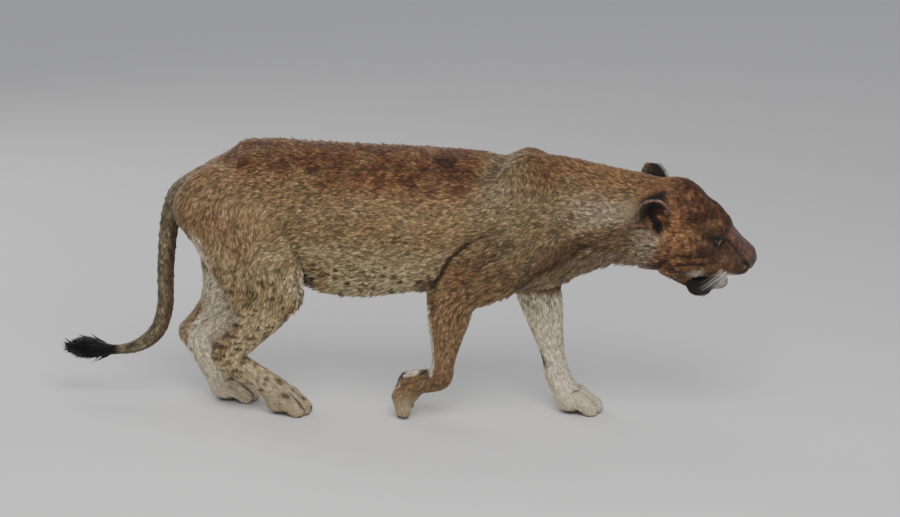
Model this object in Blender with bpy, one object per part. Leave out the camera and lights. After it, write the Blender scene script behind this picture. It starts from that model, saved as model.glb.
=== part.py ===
"""A walking lioness, life size, as a museum model: closed faceted solids, one for each part of the body.

The body is a field of signed distances on a grid. Muscles, bones and pads are ellipsoids and tapered
limbs with named sizes, joined by a smooth union. The surface of the field is meshed, thinned to a few
thousand faces, and parted with thin cuts at the neck, jaw, ears, loins, tail and legs.

Metres, +X forward, +Y to her left, +Z up. The floor is z = 0.
"""

import math

import bmesh
import bpy
import numpy as np
from mathutils import Euler, Matrix, Vector

# ---------------------------------------------------------------- driving sizes
HEAD_CENTRE = (0.672, 0.0, 0.562)
HEAD_SCALE = 1.12
HEAD_TURN = (8.0, 14.0, 4.0)  # roll to her right, nose down, yaw to her left, in degrees
JAW_OPEN = 8.0  # degrees
EYE_RADIUS = 0.0185
CUT = 0.0005  # width of the cuts between two parts

NECK_CUT = (0.527, 0.0, 0.615)  # where the head meets the neck
NECK_AXIS = (0.9757, 0.0, 0.2190)

# Steps of the grids the parts are meshed on, and the faces each keeps.
BODY_STEP, BODY_TRIANGLES = 0.008, 3140
HEAD_STEP, HEAD_TRIANGLES = 0.004, 1850
JAW_STEP, JAW_TRIANGLES = 0.004, 240
EAR_STEP, EAR_TRIANGLES = 0.003, 300
NOSE_STEP, NOSE_TRIANGLES = 0.0025, 240
FAR = 1.0
SEAM = 0.004  # blend between two stretches of one limb


# ---------------------------------------------------------------- field of distances
class Field:
    """Signed distances on a grid of points from low to high, negative inside the body."""

    def __init__(self, low, high, step):
        self.low = np.array(low, float)
        self.step = step
        self.shape = tuple(int(math.ceil((b - a) / step)) + 1 for a, b in zip(low, high))
        self.d = np.full(self.shape, FAR, np.float32)

    def block(self, low, high):
        """The grid's slices over a box, and the coordinates of their points."""
        first = np.floor((np.array(low) - self.low) / self.step).astype(int)
        last = np.ceil((np.array(high) - self.low) / self.step).astype(int) + 1
        first = np.clip(first, 0, self.shape)
        last = np.clip(last, 0, self.shape)
        where = tuple(slice(a, b) for a, b in zip(first, last))
        axes = [self.low[i] + self.step * np.arange(first[i], last[i]) for i in range(3)]
        return where, np.meshgrid(*axes, indexing="ij", sparse=True)


def smooth_min(a, b, k):
    h = np.maximum(k - np.abs(a - b), 0.0) / k
    return np.minimum(a, b) - h * h * k * 0.25


def distances(field, shape, margin):
    """A shape's distances over its own block of the grid. A shape is a list of closely joined stretches."""
    lows = np.min([piece[1] for piece in shape], axis=0) - margin
    highs = np.max([piece[2] for piece in shape], axis=0) + margin
    where, _ = field.block(lows, highs)
    total = np.full(tuple(w.stop - w.start for w in where), FAR, np.float32)
    for distance, low, high in shape:
        part, points = field.block(low - margin, high + margin)
        own = tuple(slice(p.start - w.start, p.stop - w.start) for p, w in zip(part, where))
        total[own] = smooth_min(total[own], distance(*points), SEAM)
    return where, total


def add(field, shape, k=0.02):
    """Smooth union of a shape into the field."""
    where, total = distances(field, shape, k + 2 * field.step)
    field.d[where] = smooth_min(field.d[where], total, k)


def carve(field, shape, k=0.008):
    """Smooth subtraction of a shape from the field."""
    where, total = distances(field, shape, k + 2 * field.step)
    field.d[where] = -smooth_min(-field.d[where], total, k)


# ---------------------------------------------------------------- shapes
def ellipsoid(centre, radii, turn=None):
    """An ellipsoid. turn is a rotation matrix from its own axes to the body's."""
    centre, radii = np.array(centre, float), np.array(radii, float)
    axes = np.eye(3) if turn is None else np.array(turn, float)

    def distance(x, y, z):
        q = [x - centre[0], y - centre[1], z - centre[2]]
        own = [sum(axes[j][i] * q[j] for j in range(3)) for i in range(3)]
        k0 = np.sqrt(sum((v / r) ** 2 for v, r in zip(own, radii)))
        k1 = np.sqrt(sum((v / r**2) ** 2 for v, r in zip(own, radii)))
        return k0 * (k0 - 1.0) / np.maximum(k1, 1e-6)

    reach = np.sqrt(((np.array(axes) * radii) ** 2).sum(1))
    return [(distance, centre - reach, centre + reach)]


def taper(a, b, depth, width, side=(0, 1, 0)):
    """A straight stretch from a to b; depth and width are its half sizes at both ends, width along side."""
    a, b, side = (np.array(v, float) for v in (a, b, side))
    along = b - a
    length2 = max(float(along @ along), 1e-9)

    def distance(x, y, z):
        q = [x - a[0], y - a[1], z - a[2]]
        t = np.clip(sum(along[i] * q[i] for i in range(3)) / length2, 0.0, 1.0)
        q = [q[i] - t * along[i] for i in range(3)]
        across = sum(side[i] * q[i] for i in range(3))
        r = depth[0] + (depth[1] - depth[0]) * t
        w = width[0] + (width[1] - width[0]) * t
        square = sum(v * v for v in q)
        ratio = r / w
        scaled = np.sqrt(np.maximum(square - across**2 + (across * ratio) ** 2, 1e-12))
        slope = np.sqrt(np.maximum(square - across**2 + (across * ratio**2) ** 2, 1e-12)) / scaled
        return (scaled - r) / slope

    reach = max(*depth, *width)
    return [(distance, np.minimum(a, b) - reach, np.maximum(a, b) + reach)]


def smooth_through(values, count):
    """Points on a Catmull-Rom curve through the rows of values, count for each span."""
    rows = np.array(values, float)
    padded = np.vstack([2 * rows[0] - rows[1], rows, 2 * rows[-1] - rows[-2]])
    out = []
    for i in range(len(rows) - 1):
        p0, p1, p2, p3 = padded[i : i + 4]
        for t in np.arange(count) / count:
            out.append(
                0.5
                * (
                    2 * p1
                    + (p2 - p0) * t
                    + (2 * p0 - 5 * p1 + 4 * p2 - p3) * t**2
                    + (3 * p1 - p0 - 3 * p2 + p3) * t**3
                )
            )
    return np.array(out + [rows[-1]])


def limb(stations, count=3, side=(0, 1, 0)):
    """Stretches along a smooth path. A station is x, y, z, half depth, half width."""
    rows = smooth_through(stations, count)
    shape = []
    for p, q in zip(rows, rows[1:]):
        shape += taper(p[:3], q[:3], (p[3], q[3]), (p[4], q[4]), side)
    return shape


# ---------------------------------------------------------------- trunk, neck and tail
def trunk_shapes():
    # Barrel from rump to chest: x, y, z, half depth, half width.
    yield limb(
        [
            (-0.715, 0, 0.612, 0.066, 0.066),
            (-0.655, 0, 0.614, 0.114, 0.104),
            (-0.560, 0, 0.626, 0.162, 0.118),
            (-0.440, 0, 0.598, 0.186, 0.122),
            (-0.320, 0, 0.576, 0.205, 0.132),
            (-0.200, 0, 0.574, 0.205, 0.144),
            (-0.060, 0, 0.576, 0.200, 0.152),
            (0.080, 0, 0.572, 0.196, 0.152),
            (0.200, 0, 0.580, 0.190, 0.140),
            (0.300, 0, 0.592, 0.172, 0.118),
            (0.365, 0, 0.600, 0.140, 0.094),
        ]
    ), 0.03
    # Spine ridge, breastbone and the loose skin of the belly.
    yield taper((-0.57, 0, 0.760), (0.10, 0, 0.745), (0.036, 0.034), (0.045, 0.045)), 0.05
    yield taper((0.30, 0, 0.455), (0.10, 0, 0.415), (0.036, 0.034), (0.046, 0.050)), 0.05
    yield ellipsoid((-0.285, 0, 0.425), (0.150, 0.085, 0.062)), 0.05
    for side in (-1, 1):
        # Ribs, loin muscle, point of the hip and rump.
        yield ellipsoid((0.00, side * 0.078, 0.560), (0.240, 0.080, 0.155)), 0.05
        yield taper(
            (-0.50, side * 0.056, 0.742), (0.06, side * 0.058, 0.722), (0.036, 0.036), (0.040, 0.040)
        ), 0.06
        yield ellipsoid((-0.525, side * 0.078, 0.726), (0.075, 0.032, 0.042)), 0.06
        yield ellipsoid((-0.680, side * 0.070, 0.622), (0.105, 0.070, 0.088)), 0.05


def neck_shapes():
    # Crest and windpipe of the neck: x, y, z, half depth, half width.
    yield limb(
        [
            (0.230, 0, 0.640, 0.140, 0.100),
            (0.330, 0, 0.625, 0.145, 0.104),
            (0.420, 0, 0.620, 0.136, 0.098),
            (0.500, 0, 0.612, 0.130, 0.092),
            (0.580, 0, 0.600, 0.126, 0.090),
            (0.640, 0, 0.590, 0.112, 0.086),
        ]
    ), 0.04
    for side in (-1, 1):
        # The long muscle from behind the ear down to the point of the shoulder.
        yield taper(
            (0.56, side * 0.060, 0.610), (0.36, side * 0.085, 0.560), (0.060, 0.062), (0.045, 0.050)
        ), 0.03


def tail_shapes():
    # The tail hangs from the rump and turns back to the tuft: x, y, z, radius.
    path = [
        (-0.720, 0.000, 0.678, 0.040),
        (-0.778, 0.000, 0.648, 0.036),
        (-0.810, 0.000, 0.600, 0.031),
        (-0.828, 0.002, 0.520, 0.028),
        (-0.841, 0.004, 0.410, 0.026),
        (-0.845, 0.006, 0.316, 0.025),
        (-0.858, 0.008, 0.254, 0.025),
        (-0.884, 0.010, 0.207, 0.024),
        (-0.927, 0.012, 0.174, 0.021),
        (-0.973, 0.014, 0.157, 0.017),
        (-1.015, 0.016, 0.152, 0.014),
    ]
    yield limb([(x, y, z, r, r) for x, y, z, r in path]), 0.03
    tuft = [
        (-1.015, 0.016, 0.152, 0.017),
        (-1.045, 0.017, 0.153, 0.024),
        (-1.080, 0.018, 0.155, 0.026),
        (-1.112, 0.019, 0.154, 0.019),
        (-1.138, 0.020, 0.153, 0.008),
    ]
    yield limb([(x, y, z, r, r) for x, y, z, r in tuft]), 0.01


# ---------------------------------------------------------------- head
def head_turn():
    """Rotation from the head's own axes (forward, left, up) to the body's."""
    roll, down, yaw = (math.radians(v) for v in HEAD_TURN)
    turn = Matrix.Rotation(yaw, 3, "Z") @ Matrix.Rotation(down, 3, "Y") @ Matrix.Rotation(roll, 3, "X")
    return np.array(turn)


def jaw_turn(point):
    """A point of the closed lower jaw, in head axes, swung open about the hinge below the ears."""
    hinge = Vector((-0.040, 0.0, -0.030))
    swing = Matrix.Rotation(math.radians(JAW_OPEN), 3, "Y")
    return swing @ (Vector(point) - hinge) + hinge


def head_point(point):
    return np.array(HEAD_CENTRE) + head_turn() @ (HEAD_SCALE * np.array(point, float))


def head_blob(centre, radii, tip=0.0, splay=0.0, lean=0.0):
    """An ellipsoid in head axes; tip lowers its front, splay turns its front to the left, lean rolls it."""
    own = Euler((math.radians(lean), math.radians(tip), math.radians(splay)), "XYZ").to_matrix()
    turn = head_turn() @ np.array(own)
    return ellipsoid(head_point(centre), HEAD_SCALE * np.array(radii), turn)


def head_bar(a, b, depth, width):
    """A tapered stretch in head axes."""
    side = head_turn() @ np.array((0.0, 1.0, 0.0))
    depth, width = (tuple(HEAD_SCALE * v for v in pair) for pair in (depth, width))
    return taper(head_point(a), head_point(b), depth, width, side)


def skull_shapes():
    yield head_blob((-0.065, 0, 0.038), (0.100, 0.076, 0.088)), 0.02
    yield head_blob((-0.002, 0, 0.058), (0.080, 0.064, 0.056), tip=27), 0.03
    yield head_blob((-0.042, 0, 0.098), (0.056, 0.044, 0.043), tip=6), 0.022
    # Bridge of the nose, nose end and the roof of the mouth.
    yield head_bar((0.045, 0, 0.055), (0.160, 0, -0.009), (0.038, 0.026), (0.044, 0.031)), 0.02
    yield head_blob((0.166, 0, -0.022), (0.022, 0.028, 0.026)), 0.01
    yield head_bar((0.000, 0, -0.026), (0.130, 0, -0.034), (0.052, 0.025), (0.060, 0.034)), 0.02
    for side in (-1, 1):
        # Brow, cheekbone, chewing muscle and the ruff behind it.
        yield head_blob((0.056, side * 0.040, 0.051), (0.034, 0.020, 0.019), tip=22), 0.012
        yield head_blob((0.022, side * 0.056, -0.002), (0.062, 0.026, 0.024), tip=10, splay=-side * 12), 0.02
        yield head_blob((-0.020, side * 0.060, -0.028), (0.068, 0.038, 0.058)), 0.02
        yield head_blob((-0.080, side * 0.058, -0.022), (0.060, 0.040, 0.068)), 0.025
        # Side of the muzzle, whisker pad and the lip that hangs from it.
        yield head_bar(
            (0.010, side * 0.050, -0.040), (0.110, side * 0.028, -0.033), (0.044, 0.030), (0.024, 0.024)
        ), 0.02
        yield head_blob((0.128, side * 0.027, -0.033), (0.047, 0.028, 0.030), tip=4), 0.012
        yield head_bar(
            (0.132, side * 0.029, -0.047), (0.040, side * 0.051, -0.074), (0.016, 0.016), (0.012, 0.012)
        ), 0.012
    # Throat under the hinge of the jaw.
    yield head_bar((-0.150, 0, -0.028), (-0.020, 0, -0.050), (0.068, 0.044), (0.070, 0.056)), 0.03


def jaw_shapes():
    def bar(a, b, depth, width):
        return head_bar(jaw_turn(a), jaw_turn(b), depth, width)

    yield bar((0.088, 0, -0.078), (0.132, 0, -0.072), (0.017, 0.014), (0.030, 0.022)), 0.012
    for side in (-1, 1):
        bend = (0.060, side * 0.036, -0.092)
        yield bar((-0.020, side * 0.048, -0.074), bend, (0.026, 0.021), (0.022, 0.016)), 0.012
        yield bar(bend, (0.124, side * 0.015, -0.076), (0.021, 0.015), (0.016, 0.016)), 0.012
        # Loose black lip that hangs from the corner of the mouth.
        yield head_blob((0.066, side * 0.043, -0.111), (0.036, 0.011, 0.026), tip=-4, splay=-side * 14), 0.008
    yield bar((-0.010, 0, -0.090), (0.100, 0, -0.096), (0.018, 0.012), (0.040, 0.024)), 0.015


def eye_centre(side):
    return head_point((0.070, side * 0.041, 0.021))


def socket_shapes():
    """Openings between the eyelids and the hollows at the inner corners."""
    for side in (-1, 1):
        yield head_blob((0.084, side * 0.053, 0.022), (0.017, 0.020, 0.008), tip=14, splay=side * 50), 0.006


def nose_shapes():
    """The bare nose: a rounded block between the nostrils' wings, narrowing to the lip."""
    yield head_blob((0.164, 0, -0.012), (0.027, 0.027, 0.020), tip=34), 0.006
    yield head_blob((0.173, 0, -0.034), (0.013, 0.010, 0.015)), 0.010
    for side in (-1, 1):
        yield head_blob((0.170, side * 0.018, -0.020), (0.018, 0.012, 0.013), splay=-side * 20), 0.006


def nostril_shapes():
    for side in (-1, 1):
        yield head_blob((0.187, side * 0.015, -0.023), (0.010, 0.007, 0.006), splay=-side * 30), 0.004


def ear_frame(side):
    """Rotation from the ear's own axes (across, opening, tip) to head axes; both ears are half laid back."""
    if side < 0:
        tip = Vector((-0.46, -0.56, 0.69)).normalized()
        opening = Vector((0.46, -0.80, -0.38))
    else:
        tip = Vector((-0.40, 0.46, 0.79)).normalized()
        opening = Vector((0.45, 0.84, -0.28))
    across = opening.cross(tip).normalized()
    opening = tip.cross(across)
    return np.array([across, opening, tip]).T


def ear_shell(side):
    """A cup: an ellipsoid less a hollow that opens sideways and forward."""
    own = ear_frame(side)
    turn = head_turn() @ own
    base = np.array((-0.088, side * 0.074, 0.044 + 0.006 * side))
    middle = base + own @ np.array((0.0, 0.0, 0.040))
    outer = ellipsoid(head_point(middle), HEAD_SCALE * np.array((0.043, 0.030, 0.056)), turn)
    hollow_at = middle + own @ np.array((0.0, 0.0160, 0.002))
    hollow = ellipsoid(head_point(hollow_at), HEAD_SCALE * np.array((0.036, 0.034, 0.049)), turn)

    def distance(x, y, z):
        return -smooth_min(-outer[0][0](x, y, z), hollow[0][0](x, y, z), 0.006)

    return [(distance, outer[0][1], outer[0][2])]


def ear_shapes(side):
    yield ear_shell(side), 0.006
    yield head_blob((-0.082, side * 0.076, 0.040 + 0.006 * side), (0.036, 0.022, 0.030)), 0.012


def ear_canals():
    for side in (-1, 1):
        yield head_blob((-0.064, side * 0.098, 0.044 + 0.006 * side), (0.014, 0.018, 0.022)), 0.008


# ---------------------------------------------------------------- legs
# Stations down a straight stretch: share of its length, half depth, half width.
FOREARM = (
    (0.0, 0.070, 0.047), (0.3, 0.064, 0.044), (0.55, 0.051, 0.038), (0.8, 0.039, 0.034), (1.0, 0.036, 0.034)
)
SHANK = (
    (0.0, 0.060, 0.044), (0.3, 0.062, 0.043), (0.6, 0.047, 0.036), (0.85, 0.037, 0.030), (1.0, 0.040, 0.030)
)
LONG_FOOT = ((0.0, 0.041, 0.031), (0.4, 0.040, 0.031), (0.8, 0.040, 0.034), (1.0, 0.038, 0.040))


def straight_limb(start, end, stations):
    """A limb between two joints, with its half sizes at shares of the way."""
    start, end = np.array(start), np.array(end)
    return limb([(*(start + t * (end - start)), depth, width) for t, depth, width in stations])


def foreleg_shapes(side, shoulder, elbow, wrist):
    """Shoulder blade, upper arm and forearm down to the wrist; each joint is x, y, z."""
    yield limb(
        [
            (0.226, side * 0.050, 0.745, 0.044, 0.028),
            (0.228, side * 0.088, 0.690, 0.080, 0.036),
            (0.60 * shoulder[0] + 0.095, side * 0.113, 0.610, 0.085, 0.044),
            (*shoulder, 0.072, 0.050),
        ]
    ), 0.040
    middle = 0.5 * (np.array(shoulder) + np.array(elbow))
    yield limb(
        [
            (*shoulder, 0.072, 0.050),
            (middle[0], middle[1], middle[2], 0.078, 0.052),
            (elbow[0], elbow[1], elbow[2], 0.062, 0.046),
        ]
    ), 0.025
    # Triceps behind the upper arm, ending on the point of the elbow.
    point = (elbow[0] - 0.012, elbow[1], elbow[2] + 0.03)
    yield taper((shoulder[0] - 0.10, side * 0.114, 0.600), point, (0.070, 0.046), (0.036, 0.030)), 0.03
    yield straight_limb(elbow, wrist, FOREARM), 0.02


def hindleg_shapes(side, knee, hock, ball, hamstrings, calf=1.0):
    """Thigh, shank and long foot down to the ball of the toes; calf thickens the shank's muscle.

    hamstrings are the stations down the back of the thigh: x, z, half depth.
    """
    hip = np.array((-0.655, side * 0.085, 0.600))
    knee, hock, ball = np.array(knee), np.array(hock), np.array(ball)
    yield limb(
        [
            (*(hip + (0.0, 0.0, 0.035)), 0.106, 0.060),
            (*(hip + 0.45 * (knee - hip)), 0.122, 0.062),
            (*(hip + 0.80 * (knee - hip)), 0.096, 0.052),
            (*knee, 0.058, 0.042),
        ]
    ), 0.03
    # Hamstrings from the rump down the back of the thigh.
    yield limb(
        [(-0.735, side * 0.070, 0.600, 0.050, 0.045)]
        + [(x, side * 0.088, z, depth, 0.80 * depth) for x, z, depth in hamstrings]
    ), 0.03
    shank = [(t, depth * (calf if 0.0 < t < 1.0 else 1.0), width) for t, depth, width in SHANK]
    yield straight_limb(knee, hock, shank), 0.02
    cord = knee + 0.55 * (hock - knee) + (-0.035, 0, 0.0)
    yield taper(hock + (-0.018, 0, 0.014), cord, (0.028, 0.026), (0.020, 0.016)), 0.03
    yield straight_limb(hock, ball, LONG_FOOT), 0.015


def paw_shapes(heel, heading, length, width, tilt=0.0):
    """Four toes and their pads, fanned about the heading (degrees from +X); heel is the middle of the palm.

    tilt turns the toes nose-down about the palm, in degrees.
    """
    turn = Matrix.Rotation(math.radians(heading), 3, "Z") @ Matrix.Rotation(math.radians(tilt), 3, "Y")
    turn = np.array(turn)
    heel = np.array(heel, float)

    def place(p):
        return heel + turn @ np.array(p, float)

    yield ellipsoid(place((0.0, 0, 0.0)), (0.42 * length, 0.46 * width, 0.038), turn), 0.02
    for slot, reach in ((-1.5, 0.30), (-0.5, 0.42), (0.5, 0.42), (1.5, 0.30)):
        aside = slot * 0.245 * width
        knuckle = place((reach * length * 0.45, aside, 0.014))
        end = place((reach * length + 0.016, aside * 1.06, -0.016))
        yield taper(knuckle, end, (0.026, 0.023), (0.16 * width, 0.15 * width), turn[:, 1]), 0.008


def leg_shapes():
    # Near fore leg: the wrist is folded and the foot hangs, its toes just touching the floor.
    yield from foreleg_shapes(-1, (0.275, -0.120, 0.530), (0.018, -0.112, 0.400), (-0.014, -0.070, 0.150))
    yield limb(
        [
            (-0.016, -0.070, 0.150, 0.036, 0.034),
            (-0.026, -0.064, 0.128, 0.036, 0.036),
            (-0.065, -0.052, 0.116, 0.036, 0.040),
            (-0.112, -0.042, 0.108, 0.036, 0.044),
        ]
    ), 0.012
    yield from paw_shapes((-0.118, -0.042, 0.078), 180, 0.104, 0.088, tilt=62)
    # Far fore leg, straight and loaded.
    yield from foreleg_shapes(1, (0.345, 0.112, 0.550), (0.240, 0.106, 0.395), (0.306, 0.066, 0.125))
    yield limb(
        [
            (0.306, 0.066, 0.125, 0.036, 0.034),
            (0.322, 0.062, 0.085, 0.038, 0.040),
            (0.345, 0.060, 0.050, 0.036, 0.046),
        ]
    ), 0.012
    yield from paw_shapes((0.354, 0.060, 0.036), 3, 0.122, 0.105)
    # Near hind leg reaches forward; far hind leg pushes off behind.
    near_back = ((-0.648, 0.500, 0.056), (-0.592, 0.390, 0.050), (-0.562, 0.300, 0.042))
    far_back = (
        (-0.710, 0.470, 0.054), (-0.702, 0.390, 0.050), (-0.714, 0.315, 0.042), (-0.750, 0.245, 0.034)
    )
    yield from hindleg_shapes(
        -1, (-0.466, -0.112, 0.388), (-0.640, -0.082, 0.168), (-0.495, -0.055, 0.062), near_back
    )
    yield from paw_shapes((-0.490, -0.054, 0.036), -4, 0.120, 0.092)
    yield from hindleg_shapes(
        1, (-0.545, 0.110, 0.365), (-0.776, 0.066, 0.194), (-0.690, 0.048, 0.052), far_back, calf=1.50
    )
    yield from paw_shapes((-0.672, 0.046, 0.036), 3, 0.130, 0.092)


# ---------------------------------------------------------------- the whole plan
def fill(field, groups, hollows=()):
    """Add every shape of some groups to a field, then carve the hollows."""
    for group in groups:
        for shape, k in group:
            add(field, shape, k)
    for group in hollows:
        for shape, k in group:
            carve(field, shape, k)


def corner(grid, offset):
    """The grid's values at one corner of each cell; offset holds 0 or 1 for each axis."""
    return grid[tuple(slice(o, n - 1 + o) for o, n in zip(offset, grid.shape))]


def close_pinches(field):
    """Fill the points where the surface would touch itself along an edge or at a corner."""
    d = field.d
    solid = -0.05 * field.step
    for _ in range(20):
        inside = d < 0
        before = int(inside.sum())
        for axis in range(3):
            u, v = np.eye(3, dtype=int)[[a for a in range(3) if a != axis]]
            four = [corner(inside, o) for o in (0 * u, u + v, u, v)]
            bad = (four[0] & four[1] & ~four[2] & ~four[3]) | (four[2] & four[3] & ~four[0] & ~four[1])
            for o in (0 * u, u + v, u, v):
                values = corner(d, o)
                values[bad] = np.minimum(values[bad], solid)
        inside = d < 0
        offsets = [np.array((i, j, k)) for i in (0, 1) for j in (0, 1) for k in (0, 1)]
        count = sum(corner(inside, o).astype(np.int8) for o in offsets)
        for o in offsets[:4]:
            a, b = corner(inside, o), corner(inside, 1 - o)
            bad = ((count == 2) & a & b) | ((count == 6) & ~a & ~b)
            for every in offsets:
                values = corner(d, every)
                values[bad] = np.minimum(values[bad], solid)
        if int((d < 0).sum()) == before:
            break


def surface(field):
    """Surface nets: one vertex in each cell the zero level crosses, one quad across each crossed edge."""
    close_pinches(field)
    d = field.d
    inside = d < 0
    count = sum(corner(inside, offset).astype(np.int8) for offset in np.ndindex(2, 2, 2))
    cells = (count > 0) & (count < 8)
    number = np.full(cells.shape, -1, np.int64)
    number[cells] = np.arange(cells.sum())
    index = np.argwhere(cells)
    total = np.zeros((len(index), 3))
    weight = np.zeros(len(index))
    for axis in range(3):
        u, v = [a for a in range(3) if a != axis]
        for du in (0, 1):
            for dv in (0, 1):
                start = index.copy()
                start[:, u] += du
                start[:, v] += dv
                end = start.copy()
                end[:, axis] += 1
                a = d[tuple(start.T)].astype(float)
                b = d[tuple(end.T)].astype(float)
                crossed = (a < 0) != (b < 0)
                t = np.where(crossed, a / np.where(crossed, a - b, 1.0), 0.0)
                point = start.astype(float)
                point[:, axis] += t
                total += point * crossed[:, None]
                weight += crossed
    points = field.low + field.step * total / weight[:, None]
    faces = []
    for axis in range(3):
        u, v = (axis + 1) % 3, (axis + 2) % 3
        low = [slice(1, n - 1) for n in d.shape]
        high = [slice(1, n - 1) for n in d.shape]
        low[axis], high[axis] = slice(0, d.shape[axis] - 1), slice(1, d.shape[axis])
        a, b = inside[tuple(low)], inside[tuple(high)]
        where = np.argwhere(a != b)
        leaving = a[tuple(where.T)]
        where[:, [u, v]] += 1
        around = []
        for du, dv in ((0, 0), (1, 0), (1, 1), (0, 1)):
            cell = where.copy()
            cell[:, u] -= 1 - du
            cell[:, v] -= 1 - dv
            around.append(number[tuple(cell.T)])
        quad = np.stack(around, 1)
        quad[~leaving] = quad[~leaving][:, ::-1]
        faces.append(quad)
    return points, np.concatenate(faces)


# ---------------------------------------------------------------- building
COLLECTION = "Lioness"
CUTTERS = "Lioness cutters"
PALE = (0.62, 0.52, 0.40)
TAWNY = (0.42, 0.28, 0.16)
RUSTY = (0.33, 0.19, 0.10)
BLACK = (0.02, 0.018, 0.016)
AMBER = (0.30, 0.16, 0.04)


def collection(name):
    made = bpy.data.collections.new(name)
    bpy.context.scene.collection.children.link(made)
    return made


def add_object(name, mesh, where):
    obj = bpy.data.objects.new(name, mesh)
    bpy.data.collections[where].objects.link(obj)
    return obj


def field_mesh(name, low, high, step, groups, hollows=()):
    """Mesh the surface of some groups of shapes."""
    field = Field(low, high, step)
    fill(field, groups, hollows)
    points, quads = surface(field)
    mesh = bpy.data.meshes.new(name)
    mesh.from_pydata(points.tolist(), [], quads.tolist())
    mesh.update()
    return add_object(name, mesh, COLLECTION)


def bake(obj):
    """Replace an object's mesh by its modified one."""
    graph = bpy.context.evaluated_depsgraph_get()
    mesh = bpy.data.meshes.new_from_object(obj.evaluated_get(graph))
    obj.modifiers.clear()
    old = obj.data
    obj.data = mesh
    bpy.data.meshes.remove(old)


def keep_largest(obj):
    """Drop specks that a cut leaves loose."""
    work = bmesh.new()
    work.from_mesh(obj.data)
    islands = find_islands(work)
    largest = max(islands, key=lambda island: sum(f.calc_area() for f in island))
    spare = [f for island in islands if island is not largest for f in island]
    bmesh.ops.delete(work, geom=spare, context="FACES")
    loose = [v for v in work.verts if not v.link_faces]
    bmesh.ops.delete(work, geom=loose, context="VERTS")
    work.to_mesh(obj.data)
    work.free()


def find_islands(work):
    """Groups of faces that hang together, each begun at its first face."""
    seen = set()
    islands = []
    for first in work.faces:
        if first in seen:
            continue
        seen.add(first)
        island = [first]
        for face in island:
            beside = [other for edge in face.edges for other in edge.link_faces if other not in seen]
            beside = list(dict.fromkeys(beside))
            seen.update(beside)
            island.extend(beside)
        islands.append(island)
    return islands


def thin(obj, triangles):
    """Thin a mesh to about this many triangles."""
    obj.data.calc_loop_triangles()
    mod = obj.modifiers.new("Thin", "DECIMATE")
    mod.ratio = triangles / len(obj.data.loop_triangles)
    bake(obj)


def subtract(obj, cutter):
    mod = obj.modifiers.new("Cut", "BOOLEAN")
    mod.operation = "DIFFERENCE"
    mod.solver = "EXACT"
    mod.object = cutter
    bake(obj)


def as_cutter(obj):
    obj.display_type = "WIRE"
    obj.hide_render = True
    return obj


def box_cutter(name, centre, along, sizes):
    """A box centred on a point, its first axis along a direction near the XZ plane; full sizes."""
    along = Vector(along).normalized()
    third = along.cross(Vector((0, 1, 0))).normalized()
    second = third.cross(along)
    turn = Matrix((along, second, third)).transposed()
    work = bmesh.new()
    bmesh.ops.create_cube(work, size=1.0)
    for vert in work.verts:
        vert.co = Vector(centre) + turn @ Vector(vert.co[i] * sizes[i] for i in range(3))
    mesh = bpy.data.meshes.new(name)
    work.to_mesh(mesh)
    work.free()
    return as_cutter(add_object(name, mesh, CUTTERS))


def grown(obj, by):
    """A cutter the shape of an object, a little larger all round."""
    mesh = obj.data.copy()
    normals = [v.normal.copy() for v in mesh.vertices]
    for vert, normal in zip(mesh.vertices, normals):
        vert.co += by * normal
    return as_cutter(add_object(obj.name + " room", mesh, CUTTERS))


# Cuts of the body: centre, direction across the cut, sizes along it (thickness is CUT).
BODY_CUTS = {
    "chest from neck": ((0.366, 0, 0.62), (0.975, 0, 0.222), (0.6, 0.6)),
    "chest from belly": ((-0.105, 0, 0.60), (1, 0, -0.06), (0.6, 0.62)),
    "belly from hindquarters": ((-0.438, 0, 0.60), (0.97, 0, 0.24), (0.6, 0.50)),
    "thighs from hindquarters": ((-0.585, 0, 0.477), (0.406, 0, 0.914), (0.6, 0.48)),
    "tail root": ((-0.824, 0, 0.548), (-0.1, 0, -1), (0.11, 0.09)),
    "tail middle": ((-0.838, 0, 0.425), (0, 0, -1), (0.10, 0.10)),
    "tail end": ((-0.852, 0, 0.280), (-0.2, 0, -0.98), (0.10, 0.10)),
    "tail tuft": ((-1.012, 0, 0.152), (-1, 0, 0), (0.10, 0.10)),
    "near elbow": ((0.020, -0.135, 0.338), (0, 0, 1), (0.25, 0.22)),
    "near wrist": ((-0.006, -0.09, 0.172), (0.1, 0, 1), (0.17, 0.15)),
    "far elbow": ((0.258, 0.135, 0.360), (-0.2, 0, 1), (0.24, 0.20)),
    "far wrist": ((0.306, 0.08, 0.128), (-0.2, 0, 1), (0.16, 0.12)),
    "near knee": ((-0.545, -0.12, 0.325), (0.15, 0, 1), (0.21, 0.34)),
    "near hock": ((-0.600, -0.09, 0.150), (-0.75, 0, 0.66), (0.17, 0.20)),
    "far knee": ((-0.665, 0.12, 0.325), (0.15, 0, 1), (0.21, 0.34)),
    "far hock": ((-0.757, 0.080, 0.163), (-0.08, 0, 1), (0.160, 0.20)),
}

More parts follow.
